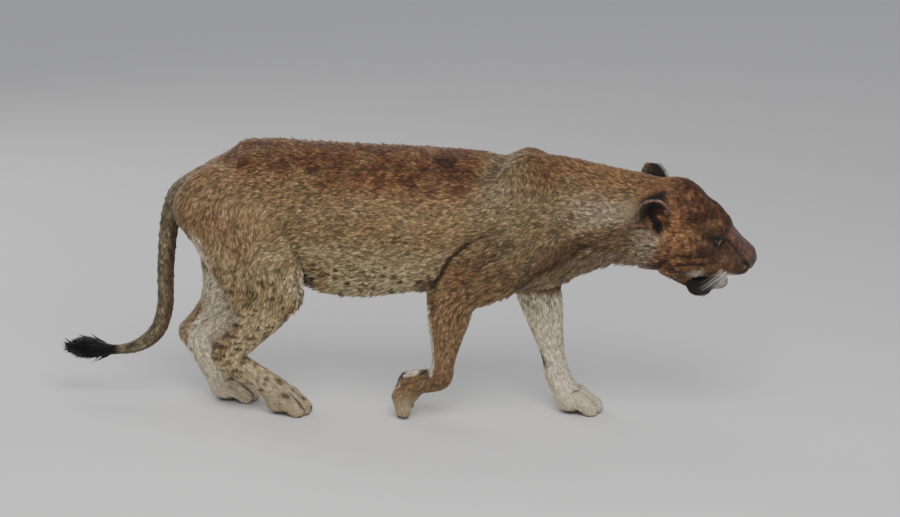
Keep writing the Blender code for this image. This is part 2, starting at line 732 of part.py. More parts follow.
# Parts of the body: a point near the middle of each, and its colour.
BODY_PARTS = {
    "neck": ((0.43, 0, 0.62), TAWNY),
    "chest": ((0.16, 0, 0.59), TAWNY),
    "belly": ((-0.27, 0, 0.58), TAWNY),
    "hindquarters": ((-0.60, 0, 0.64), RUSTY),
    "tail_root": ((-0.832, 0, 0.485), TAWNY),
    "tail_middle": ((-0.845, 0, 0.36), TAWNY),
    "tail_end": ((-0.92, 0.01, 0.19), TAWNY),
    "tail_tuft": ((-1.08, 0.02, 0.15), BLACK),
    "forearm_right": ((0.0, -0.09, 0.27), TAWNY),
    "forepaw_right": ((-0.09, -0.05, 0.11), PALE),
    "forearm_left": ((0.27, 0.09, 0.25), PALE),
    "forepaw_left": ((0.35, 0.06, 0.06), PALE),
    "thigh_right": ((-0.56, -0.11, 0.44), TAWNY),
    "shank_right": ((-0.56, -0.10, 0.25), TAWNY),
    "hindpaw_right": ((-0.52, -0.07, 0.08), PALE),
    "thigh_left": ((-0.63, 0.10, 0.44), TAWNY),
    "shank_left": ((-0.68, 0.09, 0.27), PALE),
    "hindpaw_left": ((-0.70, 0.05, 0.08), PALE),
}


def split_body(body):
    """Part the cut body into its loose pieces and name each by the point it holds nearest its middle."""
    work = bmesh.new()
    work.from_mesh(body.data)
    islands = find_islands(work)
    pieces = []
    for island in islands:
        verts = list(dict.fromkeys(v for face in island for v in face.verts))
        low = Vector(min(v.co[i] for v in verts) for i in range(3))
        high = Vector(max(v.co[i] for v in verts) for i in range(3))
        pieces.append(((low + high) / 2, island))
    if len(pieces) != len(BODY_PARTS):
        raise ValueError(f"{len(pieces)} pieces for {len(BODY_PARTS)} parts")
    for name, (point, colour) in BODY_PARTS.items():
        middle, island = min(pieces, key=lambda piece: (piece[0] - Vector(point)).length)
        verts = dict.fromkeys(v for face in island for v in face.verts)
        order = {vert: i for i, vert in enumerate(verts)}
        faces = [[order[v] for v in face.verts] for face in island]
        mesh = bpy.data.meshes.new(name)
        mesh.from_pydata([tuple(v.co) for v in order], [], faces)
        mesh.update()
        add_object(name, mesh, COLLECTION)
        paint(name, colour)
    work.free()
    bpy.data.objects.remove(body)


def paint(name, colour, roughness=0.85):
    material = bpy.data.materials.new(name)
    material.use_nodes = True
    shader = material.node_tree.nodes["Principled BSDF"]
    shader.inputs["Base Color"].default_value = (*colour, 1.0)
    shader.inputs["Roughness"].default_value = roughness
    mesh = bpy.data.objects[name].data
    mesh.materials.clear()
    mesh.materials.append(material)


def build_body():
    low, high = (-1.17, -0.24, -0.032), (0.70, 0.24, 0.86)
    groups = (trunk_shapes(), neck_shapes(), tail_shapes(), leg_shapes(), skull_shapes())
    body = field_mesh("body", low, high, BODY_STEP, groups)
    thin(body, BODY_TRIANGLES)
    subtract(body, box_cutter("floor", (0, 0, -0.1), (1, 0, 0), (4, 2, 0.2)))
    beyond = np.array(NECK_CUT) + 0.5 * np.array(NECK_AXIS)
    subtract(body, box_cutter("before neck", beyond, NECK_AXIS, (1, 2, 2)))
    subtract(body, box_cutter("between thighs", (-0.625, 0, 0.387), (0.914, 0, -0.406), (0.50, CUT, 0.20)))
    for name, (centre, along, sizes) in BODY_CUTS.items():
        subtract(body, box_cutter(name, centre, along, (CUT, *sizes)))
    split_body(body)


def build_head():
    """Head, then the jaw, ears, nose and eyes, each fitted to the head with a hair's gap."""
    low, high = (0.40, -0.19, 0.30), (0.92, 0.19, 0.80)
    groups = (trunk_shapes(), neck_shapes(), skull_shapes())
    head = field_mesh("head", low, high, HEAD_STEP, groups, (ear_canals(), socket_shapes()))
    thin(head, HEAD_TRIANGLES)
    back = np.array(NECK_CUT) - (0.5 - CUT) * np.array(NECK_AXIS)
    subtract(head, box_cutter("behind neck", back, NECK_AXIS, (1, 2, 2)))
    nose_low, nose_high = (0.78, -0.07, 0.40), (0.92, 0.09, 0.60)
    nose = field_mesh("nose", nose_low, nose_high, NOSE_STEP, (nose_shapes(),), (nostril_shapes(),))
    thin(nose, NOSE_TRIANGLES)
    subtract(head, grown(nose, CUT))
    for side, name in ((-1, "right"), (1, "left")):
        eye = eyeball("eye_" + name, eye_centre(side), EYE_RADIUS)
        subtract(head, grown(eye, CUT))
        paint(eye.name, AMBER, 0.2)
    keep_largest(head)
    room = grown(head, CUT)
    jaw = field_mesh("lower_jaw", low, high, JAW_STEP, (jaw_shapes(),))
    thin(jaw, JAW_TRIANGLES)
    subtract(jaw, room)
    keep_largest(jaw)
    for side, name in ((-1, "right"), (1, "left")):
        middle = head_point((-0.11, side * 0.10, 0.08))
        low, high = middle - 0.11, middle + 0.11
        ear = field_mesh("ear_" + name, low, high, EAR_STEP, (ear_shapes(side),), (ear_canals(),))
        thin(ear, EAR_TRIANGLES)
        subtract(ear, room)
        keep_largest(ear)
        paint(ear.name, RUSTY)
    paint("head", TAWNY)
    paint("lower_jaw", PALE)
    paint("nose", BLACK, 0.4)


def eyeball(name, centre, radius):
    work = bmesh.new()
    bmesh.ops.create_icosphere(work, subdivisions=2, radius=radius, matrix=Matrix.Translation(Vector(centre)))
    for face in work.faces:
        face.smooth = True
    mesh = bpy.data.meshes.new(name)
    work.to_mesh(mesh)
    work.free()
    return add_object(name, mesh, COLLECTION)


def centre_on_floor():
    """Move everything so the origin is under the middle of the bounding box, on the floor."""
    everything = [obj for name in (COLLECTION, CUTTERS) for obj in bpy.data.collections[name].objects]
    solids = bpy.data.collections[COLLECTION].objects
    corners = np.array([v.co[:] for obj in solids for v in obj.data.vertices])
    middle = (corners.min(0) + corners.max(0)) / 2
    shift = Matrix.Translation((-middle[0], -middle[1], -corners[:, 2].min()))
    for obj in everything:
        obj.data.transform(shift)


def main():
    for obj in list(bpy.data.objects):
        bpy.data.objects.remove(obj)
    collection(COLLECTION)
    collection(CUTTERS)
    build_head()
    build_body()
    for obj in bpy.data.collections[COLLECTION].objects:
        triangulate(obj.data)
    centre_on_floor()


def triangulate(mesh):
    work = bmesh.new()
    work.from_mesh(mesh)
    bmesh.ops.triangulate(work, faces=work.faces)
    work.to_mesh(mesh)
    work.free()


main()
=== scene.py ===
import math

import bpy
import numpy as np
from mathutils import Euler, Matrix, Vector


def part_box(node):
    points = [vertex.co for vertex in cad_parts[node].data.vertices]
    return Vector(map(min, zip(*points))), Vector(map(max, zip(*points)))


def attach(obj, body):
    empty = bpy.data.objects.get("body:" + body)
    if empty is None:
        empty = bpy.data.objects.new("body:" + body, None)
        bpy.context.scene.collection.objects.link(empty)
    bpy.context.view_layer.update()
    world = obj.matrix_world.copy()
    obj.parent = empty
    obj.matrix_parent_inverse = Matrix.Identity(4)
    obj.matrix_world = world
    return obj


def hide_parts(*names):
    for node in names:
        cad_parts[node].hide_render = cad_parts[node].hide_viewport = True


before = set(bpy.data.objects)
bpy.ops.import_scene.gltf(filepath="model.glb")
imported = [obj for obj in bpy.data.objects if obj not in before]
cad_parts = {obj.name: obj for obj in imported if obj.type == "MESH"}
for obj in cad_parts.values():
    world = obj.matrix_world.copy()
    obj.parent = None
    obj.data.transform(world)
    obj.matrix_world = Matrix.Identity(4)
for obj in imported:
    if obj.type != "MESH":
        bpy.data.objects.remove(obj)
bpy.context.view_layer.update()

# ================================================================ the skin
# One closed skin over the whole body, from lips to tail, a coat's depth inside the outline. It is the
# zero level of a field of signed distances, negative inside her: muscles, bones and pads are ellipsoids
# and tapered stretches in a smooth union, with the hollows carved out and the folds pressed in.
FAR = 1.0  # stands for the distance where nothing is near
SEAM = 0.004  # blend between two stretches of one limb
FLOOR_GAP = 0.0006  # least height over the floor


class Field:
    """Signed distances on a grid whose steps may differ along each axis."""

    def __init__(self, *axes):
        self.axes = [np.asarray(axis, float) for axis in axes]
        self.step = max(float(np.diff(axis).max()) for axis in self.axes)
        self.shape = tuple(len(axis) for axis in self.axes)
        self.d = np.full(self.shape, FAR, np.float32)

    def block(self, low, high):
        """The grid's slices over a box, and the coordinates of their points."""
        first = [int(np.searchsorted(axis, v, "left")) for axis, v in zip(self.axes, low)]
        last = [int(np.searchsorted(axis, v, "right")) for axis, v in zip(self.axes, high)]
        where = tuple(slice(a, max(a, b)) for a, b in zip(first, last))
        return where, np.meshgrid(*[axis[w] for axis, w in zip(self.axes, where)], indexing="ij", sparse=True)


def steps(stops, coarser=1.0):
    """Grid lines from stops given as position, step, position, step, ..., position."""
    rows = []
    for a, step, b in zip(stops[0::2], stops[1::2], stops[2::2]):
        count = max(1, int(round((b - a) / (step * coarser))))
        rows.append(np.linspace(a, b, count, endpoint=False))
    return np.concatenate(rows + [[stops[-1]]])


def smooth_min(a, b, k):
    """The lesser of two distances, blended where they differ by less than k."""
    h = np.maximum(k - np.abs(a - b), 0.0) / k
    return np.minimum(a, b) - h * h * k * 0.25


def distances(field, shape, margin):
    """A shape's distances over its own block of the grid. A shape is a list of closely joined stretches."""
    lows = np.min([piece[1] for piece in shape], axis=0) - margin
    highs = np.max([piece[2] for piece in shape], axis=0) + margin
    where, _ = field.block(lows, highs)
    total = np.full(tuple(w.stop - w.start for w in where), FAR, np.float32)
    for distance, low, high in shape:
        part, points = field.block(low - margin, high + margin)
        own = tuple(slice(p.start - w.start, p.stop - w.start) for p, w in zip(part, where))
        total[own] = smooth_min(total[own], distance(*points), SEAM)
    return where, total


def add(field, shape, k=0.02):
    """Smooth union of a shape into the field."""
    where, total = distances(field, shape, k + 2 * field.step)
    field.d[where] = smooth_min(field.d[where], total, k)


def carve(field, shape, k=0.008):
    """Smooth subtraction of a shape from the field."""
    where, total = distances(field, shape, k + 2 * field.step)
    field.d[where] = -smooth_min(-field.d[where], total, k)


# ---------------------------------------------------------------- shapes
def ellipsoid(centre, radii, turn=None):
    """An ellipsoid. turn is a rotation matrix from its own axes to the body's."""
    centre, radii = np.array(centre, float), np.array(radii, float)
    axes = np.eye(3) if turn is None else np.array(turn, float)

    def distance(x, y, z):
        q = [x - centre[0], y - centre[1], z - centre[2]]
        own = [sum(axes[j][i] * q[j] for j in range(3)) for i in range(3)]
        k0 = np.sqrt(sum((v / r) ** 2 for v, r in zip(own, radii)))
        k1 = np.sqrt(sum((v / r**2) ** 2 for v, r in zip(own, radii)))
        return k0 * (k0 - 1.0) / np.maximum(k1, 1e-6)

    reach = np.sqrt(((np.array(axes) * radii) ** 2).sum(1))
    return [(distance, centre - reach, centre + reach)]


def taper(a, b, depth, width, side=(0, 1, 0)):
    """A straight stretch from a to b; depth and width are its half sizes at both ends, width along side."""
    a, b, side = (np.array(v, float) for v in (a, b, side))
    along = b - a
    length2 = max(float(along @ along), 1e-9)

    def distance(x, y, z):
        q = [x - a[0], y - a[1], z - a[2]]
        t = np.clip(sum(along[i] * q[i] for i in range(3)) / length2, 0.0, 1.0)
        q = [q[i] - t * along[i] for i in range(3)]
        across = sum(side[i] * q[i] for i in range(3))
        r = depth[0] + (depth[1] - depth[0]) * t
        w = width[0] + (width[1] - width[0]) * t
        square = sum(v * v for v in q)
        ratio = r / w
        scaled = np.sqrt(np.maximum(square - across**2 + (across * ratio) ** 2, 1e-12))
        slope = np.sqrt(np.maximum(square - across**2 + (across * ratio**2) ** 2, 1e-12)) / scaled
        return (scaled - r) / slope

    reach = max(*depth, *width)
    return [(distance, np.minimum(a, b) - reach, np.maximum(a, b) + reach)]


def smooth_through(values, count):
    """Points on a Catmull-Rom curve through the rows of values, count for each span."""
    rows = np.array(values, float)
    padded = np.vstack([2 * rows[0] - rows[1], rows, 2 * rows[-1] - rows[-2]])
    out = []
    for p0, p1, p2, p3 in zip(padded, padded[1:], padded[2:], padded[3:]):
        for t in np.arange(count) / count:
            bend = (2 * p0 - 5 * p1 + 4 * p2 - p3) * t**2 + (3 * p1 - p0 - 3 * p2 + p3) * t**3
            out.append(0.5 * (2 * p1 + (p2 - p0) * t + bend))
    return np.array(out + [rows[-1]])


def limb(stations):
    """Stretches along a smooth path. A station is x, y, z, half depth, half width."""
    rows = smooth_through(stations, 3)
    shape = []
    for p, q in zip(rows, rows[1:]):
        shape += taper(p[:3], q[:3], (p[3], q[3]), (p[4], q[4]))
    return shape


# ---------------------------------------------------------------- trunk, neck and tail
def trunk_shapes():
    # Barrel from rump to chest: x, y, z, half depth, half width.
    yield limb([
        (-0.715, 0, 0.612, 0.066, 0.066), (-0.655, 0, 0.614, 0.114, 0.104),
        (-0.560, 0, 0.626, 0.162, 0.118), (-0.440, 0, 0.598, 0.186, 0.122),
        (-0.320, 0, 0.576, 0.205, 0.132), (-0.200, 0, 0.574, 0.205, 0.144),
        (-0.060, 0, 0.576, 0.200, 0.152), (0.080, 0, 0.572, 0.196, 0.152),
        (0.200, 0, 0.580, 0.190, 0.140), (0.300, 0, 0.592, 0.172, 0.118), (0.365, 0, 0.600, 0.140, 0.094),
    ]), 0.03
    # Spine ridge, breastbone and the loose skin of the belly.
    yield taper((-0.57, 0, 0.760), (0.10, 0, 0.745), (0.036, 0.034), (0.045, 0.045)), 0.05
    yield taper((0.30, 0, 0.455), (0.10, 0, 0.415), (0.036, 0.034), (0.046, 0.050)), 0.05
    yield ellipsoid((-0.285, 0, 0.425), (0.150, 0.085, 0.062)), 0.05
    for side in (-1, 1):
        # Ribs, loin muscle, point of the hip and rump.
        yield ellipsoid((0.00, side * 0.078, 0.560), (0.240, 0.080, 0.155)), 0.05
        yield taper(
            (-0.50, side * 0.056, 0.742), (0.06, side * 0.058, 0.722), (0.036, 0.036), (0.040, 0.040)
        ), 0.06
        yield ellipsoid((-0.525, side * 0.078, 0.726), (0.075, 0.032, 0.042)), 0.06
        yield ellipsoid((-0.680, side * 0.070, 0.622), (0.105, 0.070, 0.088)), 0.05


def neck_shapes():
    # Crest and windpipe of the neck: x, y, z, half depth, half width.
    yield limb([
        (0.230, 0, 0.640, 0.140, 0.100), (0.330, 0, 0.625, 0.145, 0.104), (0.420, 0, 0.620, 0.136, 0.098),
        (0.500, 0, 0.612, 0.130, 0.092), (0.580, 0, 0.600, 0.126, 0.090), (0.640, 0, 0.590, 0.112, 0.086),
    ]), 0.04
    for side in (-1, 1):
        # The long muscle from behind the ear down to the point of the shoulder.
        yield taper(
            (0.56, side * 0.060, 0.610), (0.36, side * 0.085, 0.560), (0.060, 0.062), (0.045, 0.050)
        ), 0.03


def tail_shapes():
    # The tail hangs from the rump and turns back to the tuft: x, y, z, radius.
    path = [
        (-0.720, 0.000, 0.678, 0.040), (-0.778, 0.000, 0.648, 0.036), (-0.810, 0.000, 0.600, 0.031),
        (-0.828, 0.002, 0.520, 0.028), (-0.841, 0.004, 0.410, 0.026), (-0.845, 0.006, 0.316, 0.025),
        (-0.858, 0.008, 0.254, 0.025), (-0.884, 0.010, 0.207, 0.024), (-0.927, 0.012, 0.174, 0.021),
        (-0.973, 0.014, 0.157, 0.017), (-1.015, 0.016, 0.152, 0.014),
    ]
    yield limb([(x, y, z, r, r) for x, y, z, r in path]), 0.03
    tuft = [
        (-1.015, 0.016, 0.152, 0.017), (-1.045, 0.017, 0.153, 0.024), (-1.080, 0.018, 0.155, 0.026),
        (-1.112, 0.019, 0.154, 0.019), (-1.138, 0.020, 0.153, 0.008),
    ]
    yield limb([(x, y, z, r, r) for x, y, z, r in tuft]), 0.01


# ---------------------------------------------------------------- head
HEAD_CENTRE = (0.672, 0.0, 0.562)
HEAD_SCALE = 1.12
HEAD_TURN = (8.0, 14.0, 4.0)  # roll to her right, nose down, yaw to her left, in degrees
JAW_OPEN = 8.0  # degrees
EYE_RADIUS = 0.0185


def head_turn():
    """Rotation from the head's own axes (forward, left, up) to the body's."""
    roll, down, yaw = (math.radians(v) for v in HEAD_TURN)
    turn = Matrix.Rotation(yaw, 3, "Z") @ Matrix.Rotation(down, 3, "Y") @ Matrix.Rotation(roll, 3, "X")
    return np.array(turn)


def head_point(point):
    """A point given in head axes, in the body's axes."""
    return np.array(HEAD_CENTRE) + head_turn() @ (HEAD_SCALE * np.array(point, float))


def jaw_turn(point):
    """A point of the closed lower jaw, in head axes, swung open about the hinge below the ears."""
    hinge = Vector((-0.040, 0.0, -0.030))
    swing = Matrix.Rotation(math.radians(JAW_OPEN), 3, "Y")
    return swing @ (Vector(point) - hinge) + hinge


def head_blob(centre, radii, tip=0.0, splay=0.0, lean=0.0):
    """An ellipsoid in head axes; tip lowers its front, splay turns its front to the left, lean rolls it."""
    own = Euler((math.radians(lean), math.radians(tip), math.radians(splay)), "XYZ").to_matrix()
    turn = head_turn() @ np.array(own)
    return ellipsoid(head_point(centre), HEAD_SCALE * np.array(radii), turn)


def head_bar(a, b, depth, width):
    """A tapered stretch in head axes."""
    side = head_turn() @ np.array((0.0, 1.0, 0.0))
    depth, width = (tuple(HEAD_SCALE * v for v in pair) for pair in (depth, width))
    return taper(head_point(a), head_point(b), depth, width, side)


def skull_shapes():
    yield head_blob((-0.065, 0, 0.038), (0.100, 0.076, 0.088)), 0.02
    yield head_blob((-0.002, 0, 0.058), (0.080, 0.064, 0.056), tip=27), 0.03
    yield head_blob((-0.042, 0, 0.098), (0.056, 0.044, 0.043), tip=6), 0.022
    # Bridge of the nose, nose end and the roof of the mouth.
    yield head_bar((0.045, 0, 0.055), (0.160, 0, -0.009), (0.038, 0.026), (0.044, 0.031)), 0.02
    yield head_blob((0.166, 0, -0.022), (0.022, 0.028, 0.026)), 0.01
    yield head_bar((0.000, 0, -0.026), (0.130, 0, -0.034), (0.052, 0.025), (0.060, 0.034)), 0.02
    for side in (-1, 1):
        # Brow, cheekbone, chewing muscle and the ruff behind it.
        yield head_blob((0.056, side * 0.040, 0.051), (0.034, 0.020, 0.019), tip=22), 0.012
        yield head_blob((0.022, side * 0.056, -0.002), (0.062, 0.026, 0.024), tip=10, splay=-side * 12), 0.02
        yield head_blob((-0.020, side * 0.060, -0.028), (0.068, 0.038, 0.058)), 0.02
        yield head_blob((-0.080, side * 0.058, -0.022), (0.060, 0.040, 0.068)), 0.025
        # Side of the muzzle, whisker pad and the lip that hangs from it.
        yield head_bar(
            (0.010, side * 0.050, -0.040), (0.110, side * 0.028, -0.033), (0.044, 0.030), (0.024, 0.024)
        ), 0.02
        yield head_blob((0.128, side * 0.027, -0.033), (0.047, 0.028, 0.030), tip=4), 0.012
        yield head_bar(
            (0.132, side * 0.029, -0.047), (0.040, side * 0.051, -0.074), (0.016, 0.016), (0.012, 0.012)
        ), 0.012
    # Throat under the hinge of the jaw.
    yield head_bar((-0.150, 0, -0.028), (-0.020, 0, -0.050), (0.068, 0.044), (0.070, 0.056)), 0.03


def jaw_shapes():
    def bar(a, b, depth, width):
        return head_bar(jaw_turn(a), jaw_turn(b), depth, width)

    yield bar((0.088, 0, -0.078), (0.132, 0, -0.072), (0.017, 0.014), (0.030, 0.022)), 0.012
    for side in (-1, 1):
        bend = (0.060, side * 0.036, -0.092)
        yield bar((-0.020, side * 0.048, -0.074), bend, (0.026, 0.021), (0.022, 0.016)), 0.012
        yield bar(bend, (0.124, side * 0.015, -0.076), (0.021, 0.015), (0.016, 0.016)), 0.012
        # Loose black lip that hangs from the corner of the mouth.
        yield head_blob((0.066, side * 0.043, -0.111), (0.036, 0.011, 0.026), tip=-4, splay=-side * 14), 0.008
    yield bar((-0.010, 0, -0.090), (0.100, 0, -0.096), (0.018, 0.012), (0.040, 0.024)), 0.015


def eye_centre(side):
    """Middle of an eyeball, in the body's axes."""
    return head_point((0.070, side * 0.041, 0.021))


def ear_frame(side):
    """Rotation from the ear's own axes (across, opening, tip) to head axes; both ears are half laid back."""
    if side < 0:
        tip = Vector((-0.46, -0.56, 0.69)).normalized()
        opening = Vector((0.46, -0.80, -0.38))
    else:
        tip = Vector((-0.40, 0.46, 0.79)).normalized()
        opening = Vector((0.45, 0.84, -0.28))
    across = opening.cross(tip).normalized()
    opening = tip.cross(across)
    return np.array([across, opening, tip]).T


def ear_base(side):
    """Middle of the ear's root, in head axes; the left ear sits a little higher."""
    return np.array((-0.088, side * 0.074, 0.044 + 0.006 * side))


def ear_shell(side):
    """A cup: an ellipsoid less a hollow that opens sideways and forward."""
    own = ear_frame(side)
    turn = head_turn() @ own
    middle = ear_base(side) + own @ np.array((0.0, 0.0, 0.040))
    outer = ellipsoid(head_point(middle), HEAD_SCALE * np.array((0.043, 0.030, 0.056)), turn)
    hollow_at = middle + own @ np.array((0.0, 0.0160, 0.002))
    hollow = ellipsoid(head_point(hollow_at), HEAD_SCALE * np.array((0.036, 0.034, 0.049)), turn)

    def distance(x, y, z):
        return -smooth_min(-outer[0][0](x, y, z), hollow[0][0](x, y, z), 0.006)

    return [(distance, outer[0][1], outer[0][2])]


def ear_shapes(side):
    """The cup of an ear and the flesh about its root."""
    yield ear_shell(side), 0.006
    yield head_blob((-0.082, side * 0.076, 0.040 + 0.006 * side), (0.036, 0.022, 0.030)), 0.012


def ear_canals():
    """Hollows at the root of both ears."""
    for side in (-1, 1):
        yield head_blob((-0.064, side * 0.098, 0.044 + 0.006 * side), (0.014, 0.018, 0.022)), 0.008


# ---------------------------------------------------------------- legs
# Stations down a straight stretch: share of its length, half depth, half width.
FOREARM = (
    (0.0, 0.070, 0.047), (0.3, 0.064, 0.044), (0.55, 0.051, 0.038), (0.8, 0.039, 0.034), (1.0, 0.036, 0.034)
)
SHANK = (
    (0.0, 0.060, 0.044), (0.3, 0.062, 0.043), (0.6, 0.047, 0.036), (0.85, 0.037, 0.030), (1.0, 0.040, 0.030)
)
LONG_FOOT = ((0.0, 0.041, 0.031), (0.4, 0.040, 0.031), (0.8, 0.040, 0.034), (1.0, 0.038, 0.040))


def straight_limb(start, end, stations):
    """A limb between two joints, with its half sizes at shares of the way."""
    start, end = np.array(start), np.array(end)
    return limb([(*(start + t * (end - start)), depth, width) for t, depth, width in stations])


def foreleg_shapes(side, shoulder, elbow, wrist):
    """Shoulder blade, upper arm and forearm down to the wrist; each joint is x, y, z."""
    yield limb([
        (0.226, side * 0.050, 0.745, 0.044, 0.028), (0.228, side * 0.088, 0.690, 0.080, 0.036),
        (0.60 * shoulder[0] + 0.095, side * 0.113, 0.610, 0.085, 0.044), (*shoulder, 0.072, 0.050),
    ]), 0.040
    middle = 0.5 * (np.array(shoulder) + np.array(elbow))
    yield limb([(*shoulder, 0.072, 0.050), (*middle, 0.078, 0.052), (*elbow, 0.062, 0.046)]), 0.025
    # Triceps behind the upper arm, ending on the point of the elbow.
    point = (elbow[0] - 0.012, elbow[1], elbow[2] + 0.03)
    yield taper((shoulder[0] - 0.10, side * 0.114, 0.600), point, (0.070, 0.046), (0.036, 0.030)), 0.03
    yield straight_limb(elbow, wrist, FOREARM), 0.02


def hindleg_shapes(side, knee, hock, ball, hamstrings, calf=1.0):
    """Thigh, shank and long foot down to the ball of the toes; calf thickens the shank's muscle.

    hamstrings are the stations down the back of the thigh: x, z, half depth.
    """
    hip = np.array((-0.655, side * 0.085, 0.600))
    knee, hock, ball = np.array(knee), np.array(hock), np.array(ball)
    yield limb([
        (*(hip + (0.0, 0.0, 0.035)), 0.106, 0.060), (*(hip + 0.45 * (knee - hip)), 0.122, 0.062),
        (*(hip + 0.80 * (knee - hip)), 0.096, 0.052), (*knee, 0.058, 0.042),
    ]), 0.03
    # Hamstrings from the rump down the back of the thigh.
    yield limb(
        [(-0.735, side * 0.070, 0.600, 0.050, 0.045)]
        + [(x, side * 0.088, z, depth, 0.80 * depth) for x, z, depth in hamstrings]
    ), 0.03
    shank = [(t, depth * (calf if 0.0 < t < 1.0 else 1.0), width) for t, depth, width in SHANK]
    yield straight_limb(knee, hock, shank), 0.02
    cord = knee + 0.55 * (hock - knee) + (-0.035, 0, 0.0)
    yield taper(hock + (-0.018, 0, 0.014), cord, (0.028, 0.026), (0.020, 0.016)), 0.03
    yield straight_limb(hock, ball, LONG_FOOT), 0.015


def paw_shapes(heel, heading, length, width, tilt=0.0):
    """Four toes and their pads, fanned about the heading (degrees from +X); heel is the middle of the palm.

    tilt turns the toes nose-down about the palm, in degrees.
    """
    turn = Matrix.Rotation(math.radians(heading), 3, "Z") @ Matrix.Rotation(math.radians(tilt), 3, "Y")
    turn = np.array(turn)
    heel = np.array(heel, float)

    def place(p):
        return heel + turn @ np.array(p, float)

    yield ellipsoid(place((0.0, 0, 0.0)), (0.42 * length, 0.46 * width, 0.038), turn), 0.02
    for slot, reach in ((-1.5, 0.30), (-0.5, 0.42), (0.5, 0.42), (1.5, 0.30)):
        aside = slot * 0.245 * width
        knuckle = place((reach * length * 0.45, aside, 0.014))
        end = place((reach * length + 0.016, aside * 1.06, -0.016))
        yield taper(knuckle, end, (0.026, 0.023), (0.16 * width, 0.15 * width), turn[:, 1]), 0.008


def leg_shapes():
    # Right fore leg: the wrist is folded and the foot hangs, its toes just touching the floor.
    yield from foreleg_shapes(-1, (0.275, -0.120, 0.530), (0.018, -0.112, 0.400), (-0.014, -0.070, 0.150))
    yield limb([
        (-0.016, -0.070, 0.150, 0.036, 0.034), (-0.026, -0.064, 0.128, 0.036, 0.036),
        (-0.065, -0.052, 0.116, 0.036, 0.040), (-0.112, -0.042, 0.108, 0.036, 0.044),
    ]), 0.012
    yield from paw_shapes((-0.118, -0.042, 0.078), 180, 0.104, 0.088, tilt=62)
    # Left fore leg, straight and loaded.
    yield from foreleg_shapes(1, (0.345, 0.112, 0.550), (0.240, 0.106, 0.395), (0.306, 0.066, 0.125))
    yield limb([
        (0.306, 0.066, 0.125, 0.036, 0.034), (0.322, 0.062, 0.085, 0.038, 0.040),
        (0.345, 0.060, 0.050, 0.036, 0.046),
    ]), 0.012
    yield from paw_shapes((0.354, 0.060, 0.036), 3, 0.122, 0.105)
    # The right hind leg reaches forward and the left one pushes off behind.
    right_back = ((-0.648, 0.500, 0.056), (-0.592, 0.390, 0.050), (-0.562, 0.300, 0.042))
    left_back = (
        (-0.710, 0.470, 0.054), (-0.702, 0.390, 0.050), (-0.714, 0.315, 0.042), (-0.750, 0.245, 0.034),
    )
    yield from hindleg_shapes(
        -1, (-0.466, -0.112, 0.388), (-0.640, -0.082, 0.168), (-0.495, -0.055, 0.062), right_back
    )
    yield from paw_shapes((-0.490, -0.054, 0.036), -4, 0.120, 0.092)
    yield from hindleg_shapes(
        1, (-0.545, 0.110, 0.365), (-0.776, 0.066, 0.194), (-0.690, 0.048, 0.052), left_back, calf=1.50
    )
    yield from paw_shapes((-0.672, 0.046, 0.036), 3, 0.130, 0.092)


# ---------------------------------------------------------------- surface of a field
def fill(field, groups, hollows=()):
    """Add every shape of some groups to a field, then carve the hollows."""
    for group in groups:
        for shape, k in group:
            add(field, shape, k)
    for group in hollows:
        for shape, k in group:
            carve(field, shape, k)


def corner(grid, offset):
    """The grid's values at one corner of each cell; offset holds 0 or 1 for each axis."""
    return grid[tuple(slice(o, n - 1 + o) for o, n in zip(offset, grid.shape))]


def close_pinches(field):
    """Fill the points where the surface would touch itself along an edge or at a corner."""
    d = field.d
    solid = -0.05 * field.step
    for _ in range(20):
        inside = d < 0
        before = int(inside.sum())
        for axis in range(3):
            u, v = np.eye(3, dtype=int)[[a for a in range(3) if a != axis]]
            four = [corner(inside, o) for o in (0 * u, u + v, u, v)]
            bad = (four[0] & four[1] & ~four[2] & ~four[3]) | (four[2] & four[3] & ~four[0] & ~four[1])
            for o in (0 * u, u + v, u, v):
                values = corner(d, o)
                values[bad] = np.minimum(values[bad], solid)
        inside = d < 0
        offsets = [np.array((i, j, k)) for i in (0, 1) for j in (0, 1) for k in (0, 1)]
        count = sum(corner(inside, o).astype(np.int8) for o in offsets)
        for o in offsets[:4]:
            a, b = corner(inside, o), corner(inside, 1 - o)
            bad = ((count == 2) & a & b) | ((count == 6) & ~a & ~b)
            for every in offsets:
                values = corner(d, every)
                values[bad] = np.minimum(values[bad], solid)
        if int((d < 0).sum()) == before:
            break


def cell_middles(d, index):
    """Mean of the places where the zero level crosses the edges of each cell, in grid steps."""
    total = np.zeros((len(index), 3))
    weight = np.zeros(len(index))
    for axis in range(3):
        u, v = [a for a in range(3) if a != axis]
        for du, dv in np.ndindex(2, 2):
            start = index.copy()
            start[:, u] += du
            start[:, v] += dv
            end = start.copy()
            end[:, axis] += 1
            a = d[tuple(start.T)].astype(float)
            b = d[tuple(end.T)].astype(float)
            crossed = (a < 0) != (b < 0)
            t = np.where(crossed, a / np.where(crossed, a - b, 1.0), 0.0)
            point = start.astype(float)
            point[:, axis] += t
            total += point * crossed[:, None]
            weight += crossed
    return total / weight[:, None]


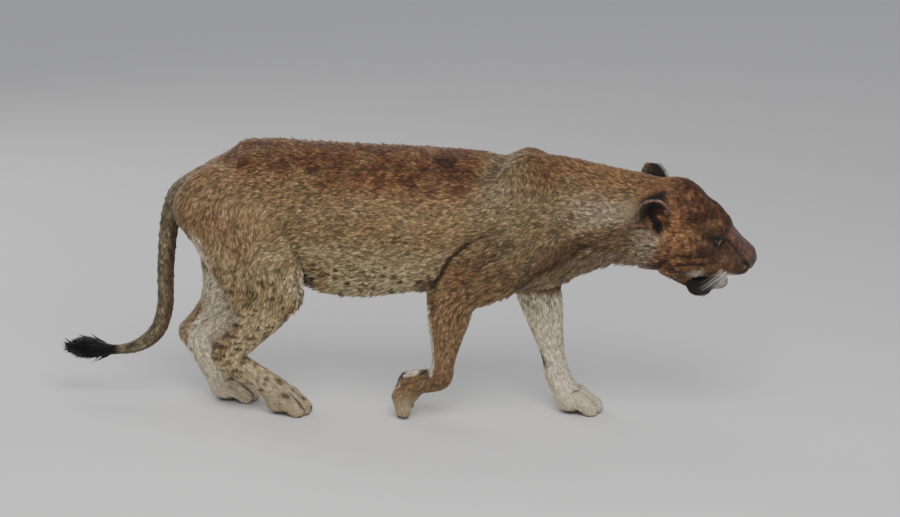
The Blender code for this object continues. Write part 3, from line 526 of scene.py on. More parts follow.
def crossed_quads(inside, number, axis):
    """A quad across each grid edge along an axis that leaves the solid or enters it, facing outwards."""
    u, v = (axis + 1) % 3, (axis + 2) % 3
    low = [slice(1, n - 1) for n in inside.shape]
    high = list(low)
    low[axis], high[axis] = slice(0, inside.shape[axis] - 1), slice(1, inside.shape[axis])
    a, b = inside[tuple(low)], inside[tuple(high)]
    where = np.argwhere(a != b)
    leaving = a[tuple(where.T)]
    where[:, [u, v]] += 1
    around = []
    for du, dv in ((0, 0), (1, 0), (1, 1), (0, 1)):
        cell = where.copy()
        cell[:, u] -= 1 - du
        cell[:, v] -= 1 - dv
        around.append(number[tuple(cell.T)])
    quad = np.stack(around, 1)
    quad[~leaving] = quad[~leaving][:, ::-1]
    return quad


def surface(field):
    """Surface nets: one vertex in each cell the zero level crosses, one quad across each crossed edge."""
    close_pinches(field)
    inside = field.d < 0
    count = sum(corner(inside, offset).astype(np.int8) for offset in np.ndindex(2, 2, 2))
    cells = (count > 0) & (count < 8)
    number = np.full(cells.shape, -1, np.int64)
    number[cells] = np.arange(cells.sum())
    index = cell_middles(field.d, np.argwhere(cells))
    places = [np.interp(index[:, i], np.arange(len(axis)), axis) for i, axis in enumerate(field.axes)]
    return np.stack(places, 1), np.concatenate([crossed_quads(inside, number, axis) for axis in range(3)])


# ---------------------------------------------------------------- folds
# Paths down the limbs and along back, belly and tail, which place folds, markings and the coat's lie.
FORELEG = {
    -1: [(0.235, -0.09, 0.740), (0.275, -0.12, 0.560), (0.018, -0.112, 0.400), (-0.014, -0.070, 0.150),
         (-0.070, -0.052, 0.112), (-0.118, -0.042, 0.078), (-0.160, -0.042, 0.010)],
    1: [(0.235, 0.09, 0.740), (0.345, 0.112, 0.560), (0.240, 0.106, 0.395), (0.306, 0.066, 0.125),
        (0.345, 0.060, 0.050), (0.440, 0.064, 0.020)],
}
HINDLEG = {
    -1: [(-0.640, -0.09, 0.640), (-0.560, -0.11, 0.500), (-0.466, -0.112, 0.388), (-0.640, -0.082, 0.168),
         (-0.495, -0.055, 0.062), (-0.420, -0.058, 0.020)],
    1: [(-0.660, 0.09, 0.640), (-0.620, 0.11, 0.500), (-0.545, 0.110, 0.365), (-0.776, 0.066, 0.194),
        (-0.690, 0.048, 0.052), (-0.610, 0.050, 0.020)],
}
TAIL = [(-0.720, 0.000, 0.678), (-0.778, 0.000, 0.648), (-0.810, 0.000, 0.600), (-0.828, 0.002, 0.520),
        (-0.841, 0.004, 0.410), (-0.845, 0.006, 0.316), (-0.858, 0.008, 0.254), (-0.884, 0.010, 0.207),
        (-0.927, 0.012, 0.174), (-0.973, 0.014, 0.157), (-1.138, 0.020, 0.153)]
SPINE = [(0.560, 0, 0.690), (0.400, 0, 0.745), (0.230, 0, 0.790), (0.000, 0, 0.770), (-0.300, 0, 0.775),
         (-0.560, 0, 0.785), (-0.700, 0, 0.700), (-0.780, 0, 0.660)]
UNDERLINE = [(0.560, 0, 0.500), (0.440, 0, 0.470), (0.340, 0, 0.430), (0.150, 0, 0.385), (-0.200, 0, 0.370),
             (-0.420, 0, 0.380), (-0.560, 0, 0.400)]
# Folds of the cheek and about the eye, in head axes, for the left side.
CHEEK_FOLDS = (
    ((-0.052, 0.085, -0.072), (-0.033, 0.095, -0.040), (-0.012, 0.095, -0.025), (0.048, 0.071, -0.020)),
    ((-0.030, 0.082, -0.080), (-0.006, 0.090, -0.050), (0.019, 0.086, -0.040), (0.060, 0.061, -0.045)),
)
TEAR_LINE = ((0.098, 0.036, 0.024), (0.126, 0.033, 0.006), (0.139, 0.036, -0.006), (0.152, 0.040, -0.014))
EYE_BAG = ((0.094, 0.045, 0.000), (0.075, 0.057, -0.008), (0.052, 0.068, 0.000))
BROW_FOLD = ((0.100, 0.034, 0.047), (0.078, 0.052, 0.050), (0.052, 0.062, 0.040))


def soften(low, high, value):
    """0 below low, 1 above high, and a smooth S between."""
    t = np.clip((value - low) / (high - low), 0.0, 1.0)
    return t * t * (3.0 - 2.0 * t)


def along(points, path):
    """Nearest place on a path of straight stretches: distance to it, and how far along the path it is."""
    best = np.full(len(points), np.inf)
    far = np.zeros(len(points))
    walked = 0.0
    for a, b in zip(np.array(path, float), np.array(path, float)[1:]):
        length = float(np.linalg.norm(b - a))
        t = np.clip((points - a) @ (b - a) / length**2, 0.0, 1.0)
        d = np.linalg.norm(points - a - t[:, None] * (b - a), axis=1)
        closer = d < best
        best = np.where(closer, d, best)
        far = np.where(closer, walked + t * length, far)
        walked += length
    return best, far


def elbow_shift(side):
    """How far forward of the right elbow a side's elbow stands."""
    return FORELEG[side][2][0] - FORELEG[-1][2][0]


def arm_creases(side):
    """Lines of the deep crease behind the upper arm and of the arm's edge against the breast."""
    s = elbow_shift(side)
    behind = [(-0.030 + s, 0, 0.418), (-0.011 + s, 0, 0.449), (0.023 + s, 0, 0.511),
              (0.074 + 0.8 * s, 0, 0.556)]
    before = [(0.205 + 0.8 * s, 0, 0.420), (0.283 + 0.5 * s, 0, 0.488), (0.327 + 0.3 * s, 0, 0.512),
              (0.400, 0, 0.548)]
    return behind, before


def press(field, path, width, depth, side=0, reach=0.0):
    """Push the surface in by depth along a path (out where depth is negative), fading over width."""
    path = np.array(path, float)
    low, high = path.min(0) - 2.5 * width, path.max(0) + 2.5 * width
    if side:
        low[1], high[1] = (reach, 0.24) if side > 0 else (-0.24, -reach)
    where, points = field.block(low, high)
    x, y, z = np.broadcast_arrays(*points)
    sites = np.stack([x.ravel(), (0 if side else 1) * y.ravel(), z.ravel()], 1)
    line = path * (1, 0 if side else 1, 1)
    bell = np.exp(-((along(sites, line)[0] / width) ** 2)).reshape(x.shape)
    field.d[where] += (depth * bell).astype(np.float32)


def fold_skin(field):
    """Folds and muscle edges: path, width, depth, side of the body and how far out they start."""
    for side in (-1, 1):
        knee, hock = np.array(HINDLEG[side][2]), np.array(HINDLEG[side][3])
        s = elbow_shift(side)
        behind, before = arm_creases(side)
        behind = behind + [(0.120 + 0.7 * s, 0, 0.577)]
        press(field, behind, 0.020, 0.0050, side, 0.05)
        press(field, behind, 0.0075, 0.0070, side, 0.05)
        press(field, before, 0.015, 0.0055, side, 0.06)
        # Small wrinkles over the point of the elbow.
        for i in range(3):
            low = np.array((-0.020 + s + 0.018 * i, 0, 0.392 + 0.008 * i))
            press(field, [low, low + (0.022, 0, -0.016)], 0.0045, 0.0035, side, 0.07)
        # Ridge of the shoulder blade and the hollows before and behind it.
        press(field, [(0.225, 0, 0.745), (0.270, 0, 0.600)], 0.014, -0.0040, side, 0.05)
        press(field, [(0.175, 0, 0.715), (0.205, 0, 0.610)], 0.022, 0.0030, side, 0.05)
        press(field, [(0.300, 0, 0.700), (0.345, 0, 0.600)], 0.020, 0.0050, side, 0.05)
        # Edge between the two heads of the triceps.
        press(field, [(0.190 + 0.6 * s, 0, 0.560), (0.060 + s, 0, 0.440)], 0.013, 0.0040, side, 0.07)
        # Flank fold before the thigh, hollow of the flank, and the thigh's two muscles.
        press(field, [(-0.398, 0, 0.385), (-0.404, 0, 0.440), (-0.432, 0, 0.510)], 0.012, 0.0080, side, 0.04)
        press(field, [(-0.385, 0, 0.640), (-0.435, 0, 0.590)], 0.038, 0.0070, side, 0.05)
        thigh_edge = [(-0.640, 0, 0.560), (-0.600 + 0.4 * (knee[0] + 0.466), 0, 0.420)]
        press(field, thigh_edge, 0.014, 0.0035, side, 0.06)
        # Last ribs.
        for i in range(5):
            x = -0.060 - 0.048 * i
            rib = [(x + 0.03, 0, 0.640), (x - 0.012, 0, 0.520), (x + 0.010, 0, 0.440)]
            press(field, rib, 0.010, 0.0016, side, 0.06)
        # Hamstring and shin cords above the hock.
        cord = [hock + (0.030, 0, 0.045), 0.45 * hock + 0.55 * knee + (-0.012, 0, 0)]
        press(field, cord, 0.010, 0.0045, side, 0.03)
        for path, width, depth in (
            (CHEEK_FOLDS[0], 0.0060, 0.0040),
            (CHEEK_FOLDS[1], 0.0055, 0.0040),
            (TEAR_LINE, 0.0065, 0.0035),
            (EYE_BAG, 0.0055, 0.0028),
            (BROW_FOLD, 0.0060, 0.0030),
        ):
            press(field, [head_point((x, side * y, z)) for x, y, z in path], width, depth)
    # Swell of the brow, the step under it into the bridge of the nose, and the cleft of the upper lip.
    press(field, [head_point((0.052, 0, 0.092)), head_point((0.084, 0, 0.072))], 0.024, -0.0075)
    press(field, [head_point((0.116, 0, 0.047)), head_point((0.140, 0, 0.031))], 0.019, 0.0065)
    press(field, [head_point((0.186, 0, -0.040)), head_point((0.172, 0, -0.062))], 0.0045, 0.0045)


# ---------------------------------------------------------------- lids, lips and the finished mesh
def coat_depth(x, z):
    """How deep the skin lies under the tips of the coat, in metres."""
    depth = 0.0045 + 0.0020 * soften(0.47, 0.40, z) * soften(0.55, 0.40, np.abs(x))
    depth = depth + (0.0022 - depth) * soften(0.56, 0.70, x)
    depth = depth + (0.0022 - depth) * soften(0.16, 0.06, z) * (1.0 - soften(-0.80, -0.84, x))
    return depth + (0.0125 - depth) * soften(-1.000, -1.035, x)


def eye_gaze(side):
    """Where the eye looks, in head axes."""
    return np.array((0.80, side * 0.58, -0.04))


def eye_axes(side):
    """Axes of an eye in body axes, as rows: outward gaze, along the lids to the outer corner, up."""
    gaze = eye_gaze(side) / np.linalg.norm(eye_gaze(side))
    outer = np.array((-0.56, side * 0.80, 0.16))
    outer -= gaze * (outer @ gaze)
    outer /= np.linalg.norm(outer)
    up = np.cross(gaze, outer) * side
    return np.array([gaze, outer, up]) @ head_turn().T


def lid_shapes():
    """Lids as a close shell over each eyeball, with the upper lid's fold under the brow."""
    for side in (-1, 1):
        gaze, outer, up = eye_axes(side)
        turn = np.array([gaze, outer, up]).T
        yield ellipsoid(eye_centre(side), (EYE_RADIUS + 0.0042,) * 3), 0.010
        yield ellipsoid(eye_centre(side) + 0.014 * gaze + 0.0150 * up, (0.007, 0.020, 0.0050), turn), 0.006


def lid_openings():
    """Almond openings between the lids, drawn out to the tear duct and the outer corner."""
    for side in (-1, 1):
        gaze, outer, up = eye_axes(side)
        turn = np.array([gaze, outer, up]).T
        middle = eye_centre(side) + (EYE_RADIUS + 0.004) * gaze
        yield ellipsoid(middle + 0.0002 * up, (0.0130, 0.0160, 0.0064), turn), 0.003
        yield ellipsoid(middle + 0.0150 * outer - 0.005 * gaze, (0.0085, 0.0075, 0.0035), turn), 0.003
        duct = eye_centre(side) + (EYE_RADIUS - 0.001) * gaze - 0.0165 * outer - 0.004 * up
        yield ellipsoid(duct, (0.0075, 0.0065, 0.0028), turn), 0.003


def mouth_slit():
    """The gap between the lips, from the corner of the mouth forward round the chin."""
    for side in (-1, 1):
        corner, front = (0.044, side * 0.056, -0.088), (0.118, side * 0.034, -0.074)
        yield head_bar(corner, front, (0.0030, 0.0045), (0.012, 0.016)), 0.004
    yield head_bar((0.060, 0, -0.082), (0.142, 0, -0.066), (0.0060, 0.0050), (0.034, 0.026)), 0.004


def skin_field():
    """The plan with its folds, at the grid steps that the head, trunk and legs need."""
    coarser = 1.0
    forward = (-1.165, 0.0090, 0.480, 0.0065, 0.560, 0.0034, 0.690, 0.0024, 0.900)
    aside = (-0.215, 0.0055, -0.140, 0.0030, 0.140, 0.0055, 0.215)
    upward = (-0.020, 0.0036, 0.120, 0.0068, 0.380, 0.0045, 0.420, 0.0030, 0.700, 0.0060, 0.840)
    field = Field(*(steps(stops, coarser) for stops in (forward, aside, upward)))
    fill(field, (trunk_shapes(), neck_shapes(), tail_shapes(), leg_shapes(), skull_shapes()))
    fill(field, (jaw_shapes(), lid_shapes()), (lid_openings(), mouth_slit()))
    fill(field, (ear_shapes(-1), ear_shapes(1)), (ear_canals(),))
    fold_skin(field)
    x, _, z = np.meshgrid(*field.axes, indexing="ij", sparse=True)
    field.d += coat_depth(x, z).astype(np.float32)
    return field


def thinned(points, quads, triangles):
    """The mesh thinned to a number of triangles, with the head and the feet spared most of it."""
    mesh = bpy.data.meshes.new("thinning")
    mesh.from_pydata(points, [], quads)
    obj = bpy.data.objects.new("thinning", mesh)
    bpy.context.scene.collection.objects.link(obj)
    coarse = np.minimum(soften(0.62, 0.54, points[:, 0]), soften(0.05, 0.16, points[:, 2]))
    group = obj.vertex_groups.new(name="coarse")
    for level in range(5):
        chosen = np.flatnonzero(np.round(4 * coarse) == level)
        group.add(chosen.tolist(), 0.05 + 0.95 * level / 4, "REPLACE")
    thin = obj.modifiers.new("thin", "DECIMATE")
    thin.ratio = min(1.0, triangles / (2 * len(quads)))
    thin.vertex_group = "coarse"
    thin.use_collapse_triangulate = True
    done = obj.evaluated_get(bpy.context.evaluated_depsgraph_get()).to_mesh()
    done.calc_loop_triangles()
    kept = np.empty(3 * len(done.vertices), np.float32)
    corners = np.empty(3 * len(done.loop_triangles), np.int32)
    done.vertices.foreach_get("co", kept)
    done.loop_triangles.foreach_get("vertices", corners)
    bpy.data.objects.remove(obj)
    bpy.data.meshes.remove(mesh)
    return kept.reshape(-1, 3).astype(float), corners.reshape(-1, 3).astype(np.int64)


def corner_normals(points, faces):
    """Normals at the points: the sum of their triangles' normals, each weighed by its area."""
    across = np.cross(points[faces[:, 1]] - points[faces[:, 0]], points[faces[:, 2]] - points[faces[:, 0]])
    total = np.zeros_like(points)
    for i in range(3):
        for axis in range(3):
            total[:, axis] += np.bincount(faces[:, i], across[:, axis], len(points))
    return total / np.maximum(np.linalg.norm(total, axis=1), 1e-12)[:, None]


def hollows(points, faces, normals):
    """How deep each point lies in a fold, 0 to 1: its depth below the surface smoothed over five rounds.

    It counts for more on the feet, between the toes.
    """
    ends = np.concatenate([faces[:, [0, 1]], faces[:, [1, 2]], faces[:, [2, 0]]])
    one, two = np.concatenate([ends[:, 0], ends[:, 1]]), np.concatenate([ends[:, 1], ends[:, 0]])
    count = np.bincount(one, minlength=len(points))
    level = points.copy()
    for _ in range(5):
        level = np.stack([np.bincount(one, level[two, i], len(points)) / count for i in range(3)], 1)
    feet = 1.0 + 1.5 * soften(0.100, 0.070, points[:, 2])
    return soften(0.0004, 0.0016, feet * ((level - points) * normals).sum(1))


SKIN_TRIANGLES = 188000
skin_points, skin_faces = thinned(*surface(skin_field()), SKIN_TRIANGLES)
skin_points[:, 2] = np.maximum(skin_points[:, 2], FLOOR_GAP)
skin_normals = corner_normals(skin_points, skin_faces)
skin_sunk = hollows(skin_points, skin_faces, skin_normals)


# ---------------------------------------------------------------- lie of the hair
# Streams run from the nose over the crown and down the back, along the sides, down each leg and out
# along the tail. A point takes the direction of the streams close to it.
def streams():
    """Paths along which the hair lies, from head to tail and down the legs."""
    yield SPINE
    yield UNDERLINE
    yield TAIL
    for s in (-1, 1):
        yield FORELEG[s]
        yield HINDLEG[s]
        yield [(0.52, s * 0.09, 0.61), (0.40, s * 0.10, 0.60), (0.26, s * 0.13, 0.63), (0.08, s * 0.15, 0.59),
               (-0.20, s * 0.15, 0.56), (-0.42, s * 0.13, 0.54), (-0.56, s * 0.12, 0.49)]
        yield [(0.17, s * 0.12, 0.46), (-0.08, s * 0.12, 0.42), (-0.36, s * 0.09, 0.40)]
        yield [(-0.44, s * 0.09, 0.73), (-0.60, s * 0.10, 0.70), (-0.72, s * 0.09, 0.60),
               (-0.72, s * 0.10, 0.45)]
        ear_root = np.array((-0.088, s * 0.074, 0.044))
        for path in (
            [(0.165, s * 0.008, -0.002), (0.110, s * 0.012, 0.040), (0.040, s * 0.015, 0.090),
             (-0.050, s * 0.020, 0.125), (-0.150, s * 0.020, 0.105)],
            [(0.150, s * 0.035, -0.035), (0.090, s * 0.046, -0.035), (0.020, s * 0.080, -0.025),
             (-0.060, s * 0.100, -0.030), (-0.150, s * 0.090, -0.060)],
            [(0.100, s * 0.035, 0.035), (0.060, s * 0.055, 0.055), (-0.010, s * 0.065, 0.070),
             (-0.065, s * 0.070, 0.060)],
            [(0.130, s * 0.010, -0.115), (0.060, s * 0.035, -0.130), (-0.030, s * 0.055, -0.105),
             (-0.120, s * 0.060, -0.095)],
            [ear_root, ear_root + 0.115 * ear_frame(s)[:, 2]],
        ):
            yield [head_point(p) for p in path]


def lie(points, normals):
    """Direction of the hair: the streams' directions, weighed by 1 / (d^2 + e^2)^2 and laid flat."""
    total = np.zeros_like(points)
    for path in streams():
        path = np.array(path, float)
        for a, b in zip(path, path[1:]):
            span = b - a
            t = np.clip((points - a) @ span / (span @ span), 0.0, 1.0)
            gap = ((points - a - t[:, None] * span) ** 2).sum(1)
            total += span / (gap + 0.02**2)[:, None] ** 2
    total -= normals * (total * normals).sum(1)[:, None]
    return total / np.maximum(np.linalg.norm(total, axis=1), 1e-12)[:, None]


# ---------------------------------------------------------------- markings
# Tawny sides and rump under a rusty saddle, pale belly, white inner legs and chin, brown spots low
# down, black lips, ear backs and tail end. Colours are given as display values, 0 to 255.
# Painted shade goes in as well, in creases, folds and hollows, and painted light along the folds of the
# cheek.
COAT_GAIN = 1.62  # the coat's base colours against these display colours, for the studio's light


def tone(red, green, blue):
    """Linear base colour of a display colour."""
    v = np.array((red, green, blue)) / 255.0
    return COAT_GAIN * np.where(v > 0.04045, ((v + 0.055) / 1.055) ** 2.4, v / 12.92)


def tint(colour, mask, other, strength=1.0):
    """Blend a colour into others where a mask allows."""
    m = (np.clip(mask, 0.0, 1.0) * strength)[:, None]
    return colour * (1.0 - m) + other * m


SIDE, RUMP, LOW = tone(102, 83, 56), tone(104, 83, 57), tone(110, 96, 67)
SADDLE, DARK_SPOT, RIDGE = tone(74, 46, 26), tone(44, 24, 16), tone(97, 76, 58)
BELLY, SHOULDER, WITHERS = tone(130, 117, 88), tone(90, 75, 52), tone(84, 59, 34)
NECK_TOP, NECK_PALE, FRINGE = tone(96, 70, 43), tone(108, 96, 78), tone(93, 78, 60)
THIGH, SHANK_TONE, WHITE = tone(120, 103, 74), tone(136, 121, 92), tone(166, 154, 132)
FOOT, TAWNY_ARM, BROWN_SPOT = tone(140, 125, 100), tone(77, 57, 39), tone(38, 24, 14)
TAIL_TONE, BLACK, RED = tone(94, 84, 65), tone(8, 6, 6), tone(96, 60, 38)
DARK_BROWN, CREASE_SHADE, ARM = tone(66, 48, 31), tone(38, 25, 17), tone(104, 82, 57)


class Paint:
    """Colours of some points. Hues are laid on in turn, each blended in where its mask allows."""

    def __init__(self, ground, count):
        self.colour = np.tile(ground, (count, 1))

    def lay(self, mask, hue, strength=1.0):
        self.colour = tint(self.colour, mask, hue, strength)


def near(points, path, radius):
    """Bell-shaped mask round a path: exp of minus the squared distance over the squared radius."""
    return np.exp(-((along(points, path)[0] / radius) ** 2))


def blob(points, centre, radii):
    """Bell-shaped mask round a point, with its own radius on each axis."""
    return np.exp(-((((points - np.array(centre)) / np.array(radii)) ** 2).sum(1)))


def mottle(points, size, seed):
    """Value noise from 0 to 1: a random lattice of the given spacing, blended smoothly between its points."""
    lattice = np.random.default_rng(seed).random((32, 32, 32))
    q = points / size
    cell = np.floor(q).astype(int)
    f = q - cell
    f = f * f * (3.0 - 2.0 * f)
    total = np.zeros(len(points))
    for corner_at in np.ndindex(2, 2, 2):
        weight = np.prod(np.where(corner_at, f, 1.0 - f), axis=1)
        i, j, k = ((cell + corner_at) % 32).T
        total += weight * lattice[i, j, k]
    return total


def spots(across, up, spacing, radius, chance, seed):
    """Spots on an uneven grid, one to a cell where a chance allows; 1 inside a spot."""
    rows = np.random.default_rng(seed).random((64, 64, 4))
    q = np.stack([across, up], 1) / spacing
    cell = np.floor(q).astype(int)
    mask = np.zeros(len(q))
    for step_to in np.ndindex(3, 3):
        other = cell + np.array(step_to) - 1
        own = rows[tuple((other % 64).T)]
        d = np.linalg.norm(other + 0.15 + 0.7 * own[:, :2] - q, axis=1) * spacing
        reach = radius * (0.6 + 0.8 * own[:, 3])
        mask = np.maximum(mask, (own[:, 2] < chance) * (1.0 - soften(0.6 * reach, 1.2 * reach, d)))
    return mask


# Bare pads of the folded right fore foot: sole, and heel pad behind the wrist.
SOLE_PAD = [(-0.132, -0.050, 0.134), (-0.148, -0.050, 0.110)]
HEEL_PAD = [(-0.068, -0.062, 0.148), (-0.064, -0.050, 0.152)]
BETWEEN_PADS = [(-0.085, -0.052, 0.150), (-0.112, -0.052, 0.144)]


def paint_body(p, n):
    """Colours of trunk, neck, legs and tail, at points with normals."""
    x, z = p[:, 0], p[:, 2]
    broad, patch, fine = mottle(p, 0.080, 11), mottle(p, 0.030, 15), mottle(p, 0.012, 12)
    ragged = 0.040 * (broad - 0.5) + 0.036 * (patch - 0.5) + 0.020 * (fine - 0.5)
    wave = z + ragged
    coat = Paint(SIDE, len(p))
    coat.lay(soften(-0.50, -0.62, x), RUMP)
    coat.lay(soften(0.02, 0.16, x), SHOULDER)
    coat.lay(soften(0.56, 0.46, wave) * soften(0.05, -0.10, x), LOW)
    coat.lay(soften(0.50, 0.75, patch) * soften(0.75, 0.60, z), NECK_PALE, 0.18)
    coat.lay(blob(p * (1, 0, 1), (0.160, 0, 0.690), (0.060, 1, 0.060)), NECK_PALE, 0.35)
    paint_saddle(coat, p, patch, ragged)
    paint_neck(coat, p, wave)
    paint_underside(coat, p, n, patch, wave)
    for side in (-1, 1):
        paint_legs(coat, p, n, side)
    # Tail, ending in a black tuft, with a dark line down its front.
    tail = soften(0.075, 0.045, along(p, TAIL)[0]) * soften(-0.735, -0.775, x)
    coat.lay(tail, TAIL_TONE)
    coat.lay(tail * soften(0.55, 0.85, fine) * 0.5, BROWN_SPOT)
    coat.lay(tail * soften(0.0, 0.7, n[:, 0] + 0.3 * (fine - 0.5)), DARK_BROWN, 0.85)
    coat.lay(soften(-0.985, -1.005, x + 0.02 * (fine - 0.5)), BLACK)
    paint_dashes(coat, p)
    return coat.colour


def paint_saddle(coat, p, patch, ragged):
    """Rusty saddle with a torn lower edge, darkest over the loins, and a pale ridge along the spine."""
    x, y, z = p.T
    edge = 0.692 + 0.045 * soften(-0.30, -0.42, x) + 0.030 * soften(0.06, 0.11, x)
    span = soften(0.13, 0.08, x + ragged) * soften(-0.80, -0.66, x)
    teeth = mottle(p * (1, 1, 0.3), 0.014, 18)
    rise = z + ragged + 0.030 * (teeth - 0.5) - edge
    coat.lay(soften(-0.055, 0.015, rise) * span, RED, 0.35)
    saddle = soften(-0.020, 0.040, rise) * span
    coat.lay(saddle, SADDLE, 0.90)
    coat.lay(saddle * soften(0.45, 0.75, 0.5 * patch + 0.5 * teeth), DARK_SPOT, 0.50)
    coat.lay(saddle * soften(0.50, 0.25, patch), SIDE, 0.30)
    spot = blob(p + (0.6 * ragged)[:, None], (-0.008, -0.075, 0.757), (0.042, 0.060, 0.017))
    coat.lay(soften(0.25, 0.65, spot), DARK_SPOT, 0.95)
    coat.lay(np.exp(-((y / 0.010) ** 2)) * soften(0.72, 0.76, z) * soften(0.05, -0.02, x), RIDGE, 0.85)


def paint_neck(coat, p, wave):
    """Withers and neck: brown above, pale patch on the side, brown below it with painted shadow, mottled
    throat.
    """
    x, z = p[:, 0], p[:, 2]
    flat = p * (1, 0, 1)
    coat.lay(soften(0.68, 0.76, wave) * soften(0.18, 0.26, x), WITHERS, 0.9)
    coat.lay(soften(0.34, 0.44, x) * soften(0.640, 0.700, wave), NECK_TOP, 0.9)
    coat.lay(blob(flat, (0.450, 0, 0.643), (0.105, 1, 0.042)), NECK_PALE, 0.95)
    coat.lay(soften(0.36, 0.42, x) * soften(0.57, 0.53, wave), FRINGE)
    # A dark band along the lower edge of the pale patch: painted shadow.
    coat.lay(near(flat, [(0.30, 0, 0.535), (0.434, 0, 0.574), (0.545, 0, 0.605)], 0.024), DARK_BROWN, 0.80)
    stripes = soften(0.45, 0.75, mottle(p * (1, 1, 0.25), 0.011, 19)) * soften(0.42, 0.48, x)
    coat.lay(stripes * soften(0.62, 0.59, z) * soften(0.47, 0.50, z), DARK_BROWN, 0.80)


def paint_underside(coat, p, n, patch, wave):
    """Pale belly facing the floor; painted shade on breast and arm root, with a paler fringe beneath."""
    x, z = p[:, 0], p[:, 2]
    under = soften(0.10, -0.60, n[:, 2]) * soften(0.60, 0.50, z) * soften(-0.50, -0.44, x)
    coat.lay(under * soften(0.06, 0.00, x), BELLY)
    # The breast and the root of the arm darkened: painted shade.
    breast = near(p * (1, 0, 1), [(0.090, 0, 0.470), (0.200, 0, 0.470), (0.330, 0, 0.540)], 0.052)
    coat.lay(breast * soften(0.02, 0.08, x) * (0.7 + 0.5 * patch), DARK_BROWN, 0.55)
    coat.lay(soften(-0.55, -0.90, n[:, 2]) * soften(0.20, 0.30, x) * soften(0.60, 0.52, z), FRINGE, 0.85)
    coat.lay(soften(0.445, 0.405, wave) * soften(-0.44, -0.38, x) * soften(0.06, 0.00, x), BELLY, 0.8)


def paint_legs(coat, p, n, side):
    """One side's two legs: own colours, then blushes, painted shade in creases, dashes and pads over them."""
    y, z = p[:, 1], p[:, 2]
    own = soften(-0.01, 0.01, side * y)
    out = side * n[:, 1]
    fore_gap, hind_gap = along(p, FORELEG[side])[0], along(p, HINDLEG[side])[0]
    in_fore = soften(0.13, 0.08, fore_gap) * soften(0.46, 0.40, z) * own * (fore_gap < hind_gap)
    in_hind = soften(0.17, 0.12, hind_gap) * soften(0.56, 0.46, z) * own * (hind_gap < fore_gap)
    paint_foreleg(coat, p, n, side, in_fore)
    paint_hindleg(coat, p, n, side, in_hind)
    paint_creases(coat, p, side)
    # Brown dashes, large on the thigh and shank, small and faint on the foreleg and the feet.
    across = 0.52 * p[:, 0] - 0.7 * np.abs(y)
    low = in_hind * (0.4 + 0.6 * soften(0.10, 0.20, z)) + 0.35 * in_fore * soften(0.10, 0.18, z)
    marks = spots(across, z, 0.0185, 0.0046, 0.82, 21 + side)
    coat.lay(marks * (soften(0.52, 0.42, z) * low) * soften(-0.45, 0.0, out), BROWN_SPOT, 0.85)
    marks = spots(across, z, 0.030, 0.0070, 0.6, 24 + side)
    shank = marks * in_hind * soften(0.33, 0.25, z)
    coat.lay(shank * (0.4 + 0.6 * soften(-0.1, 0.2, out)), BROWN_SPOT, 0.70)
    if side < 0:
        coat.lay(soften(0.20, 0.50, near(p, BETWEEN_PADS, 0.020)) * soften(0.0, 0.4, n[:, 2]), WHITE, 0.97)
        coat.lay(soften(0.30, 0.50, near(p, HEEL_PAD, 0.0135)) * in_fore, BLACK, 0.98)
        coat.lay(soften(0.30, 0.50, near(p, SOLE_PAD, 0.0165)) * in_fore, BLACK, 0.98)
    else:
        wrist_pad = near(p * (1, 0, 1), [(0.262, 0, 0.168), (0.266, 0, 0.150)], 0.0140)
        coat.lay(wrist_pad * soften(-0.3, -0.7, n[:, 0]), BLACK, 0.97)
    coat.lay(soften(-0.45, -0.80, n[:, 2]) * soften(0.026, 0.012, z) * (in_fore + in_hind), BLACK, 0.9)


def paint_foreleg(coat, p, n, side, in_fore):
    """Tawny outside and pale foot, white inside and behind; the left one is white almost all round."""
    z = p[:, 2]
    out = side * n[:, 1]
    s = elbow_shift(side)
    outside = tint(np.tile(ARM, (len(p), 1)), soften(0.20, 0.14, z), TAWNY_ARM, 0.45)
    outside = tint(outside, soften(0.11, 0.03, z), FOOT, 0.8)
    if side > 0:
        outside = tint(outside, soften(0.36, 0.26, z), WHITE, 0.75)
    coat.lay(in_fore, outside)
    # The upper arm over the elbow darkened: painted shade.
    elbow = near(p * (1, 0, 1), [(0.110 + s, 0, 0.515), (0.040 + s, 0, 0.450)], 0.052)
    coat.lay(soften(-0.01, 0.01, side * p[:, 1]) * elbow, TAWNY_ARM, 0.60)
    coat.lay(in_fore * soften(0.15, -0.35, out - 0.25 * n[:, 0]) * soften(0.385, 0.345, z), WHITE)
    # The inside of the leg next to the chest darkened: painted shade.
    coat.lay(in_fore * soften(0.1, -0.3, out) * soften(0.345, 0.385, z), DARK_BROWN, 0.85)
    coat.lay(in_fore * soften(-0.55, -0.80, n[:, 0]) * soften(0.38, 0.35, z), WHITE, 0.9)


def paint_hindleg(coat, p, n, side, in_hind):
    """Pale thigh and shank, white inside and along the back of the thigh, brown back of the hock."""
    z = p[:, 2]
    flat = p * (1, 0, 1)
    outside = tint(np.tile(THIGH, (len(p), 1)), soften(0.38, 0.28, z), SHANK_TONE)
    coat.lay(in_hind, tint(outside, soften(0.16, 0.07, z), FOOT))
    coat.lay(in_hind * soften(0.10, -0.30, side * n[:, 1] + 0.45 * n[:, 0] * (z > 0.2)), WHITE)
    seat_edge = near(flat, [(-0.716, 0, 0.545), (-0.694, 0, 0.470), (-0.682, 0, 0.420)], 0.017)
    own = soften(-0.01, 0.01, side * p[:, 1])
    coat.lay(own * (seat_edge * soften(-0.25, -0.45, n[:, 0])), WHITE, 0.92)
    hock = HINDLEG[side][3]
    edge = near(flat, [(hock[0] - 0.02, 0, 0.205), (hock[0] + 0.02, 0, 0.28)], 0.026)
    coat.lay(in_hind * (edge * soften(0.1, -0.25, n[:, 0])), ARM, 0.9)


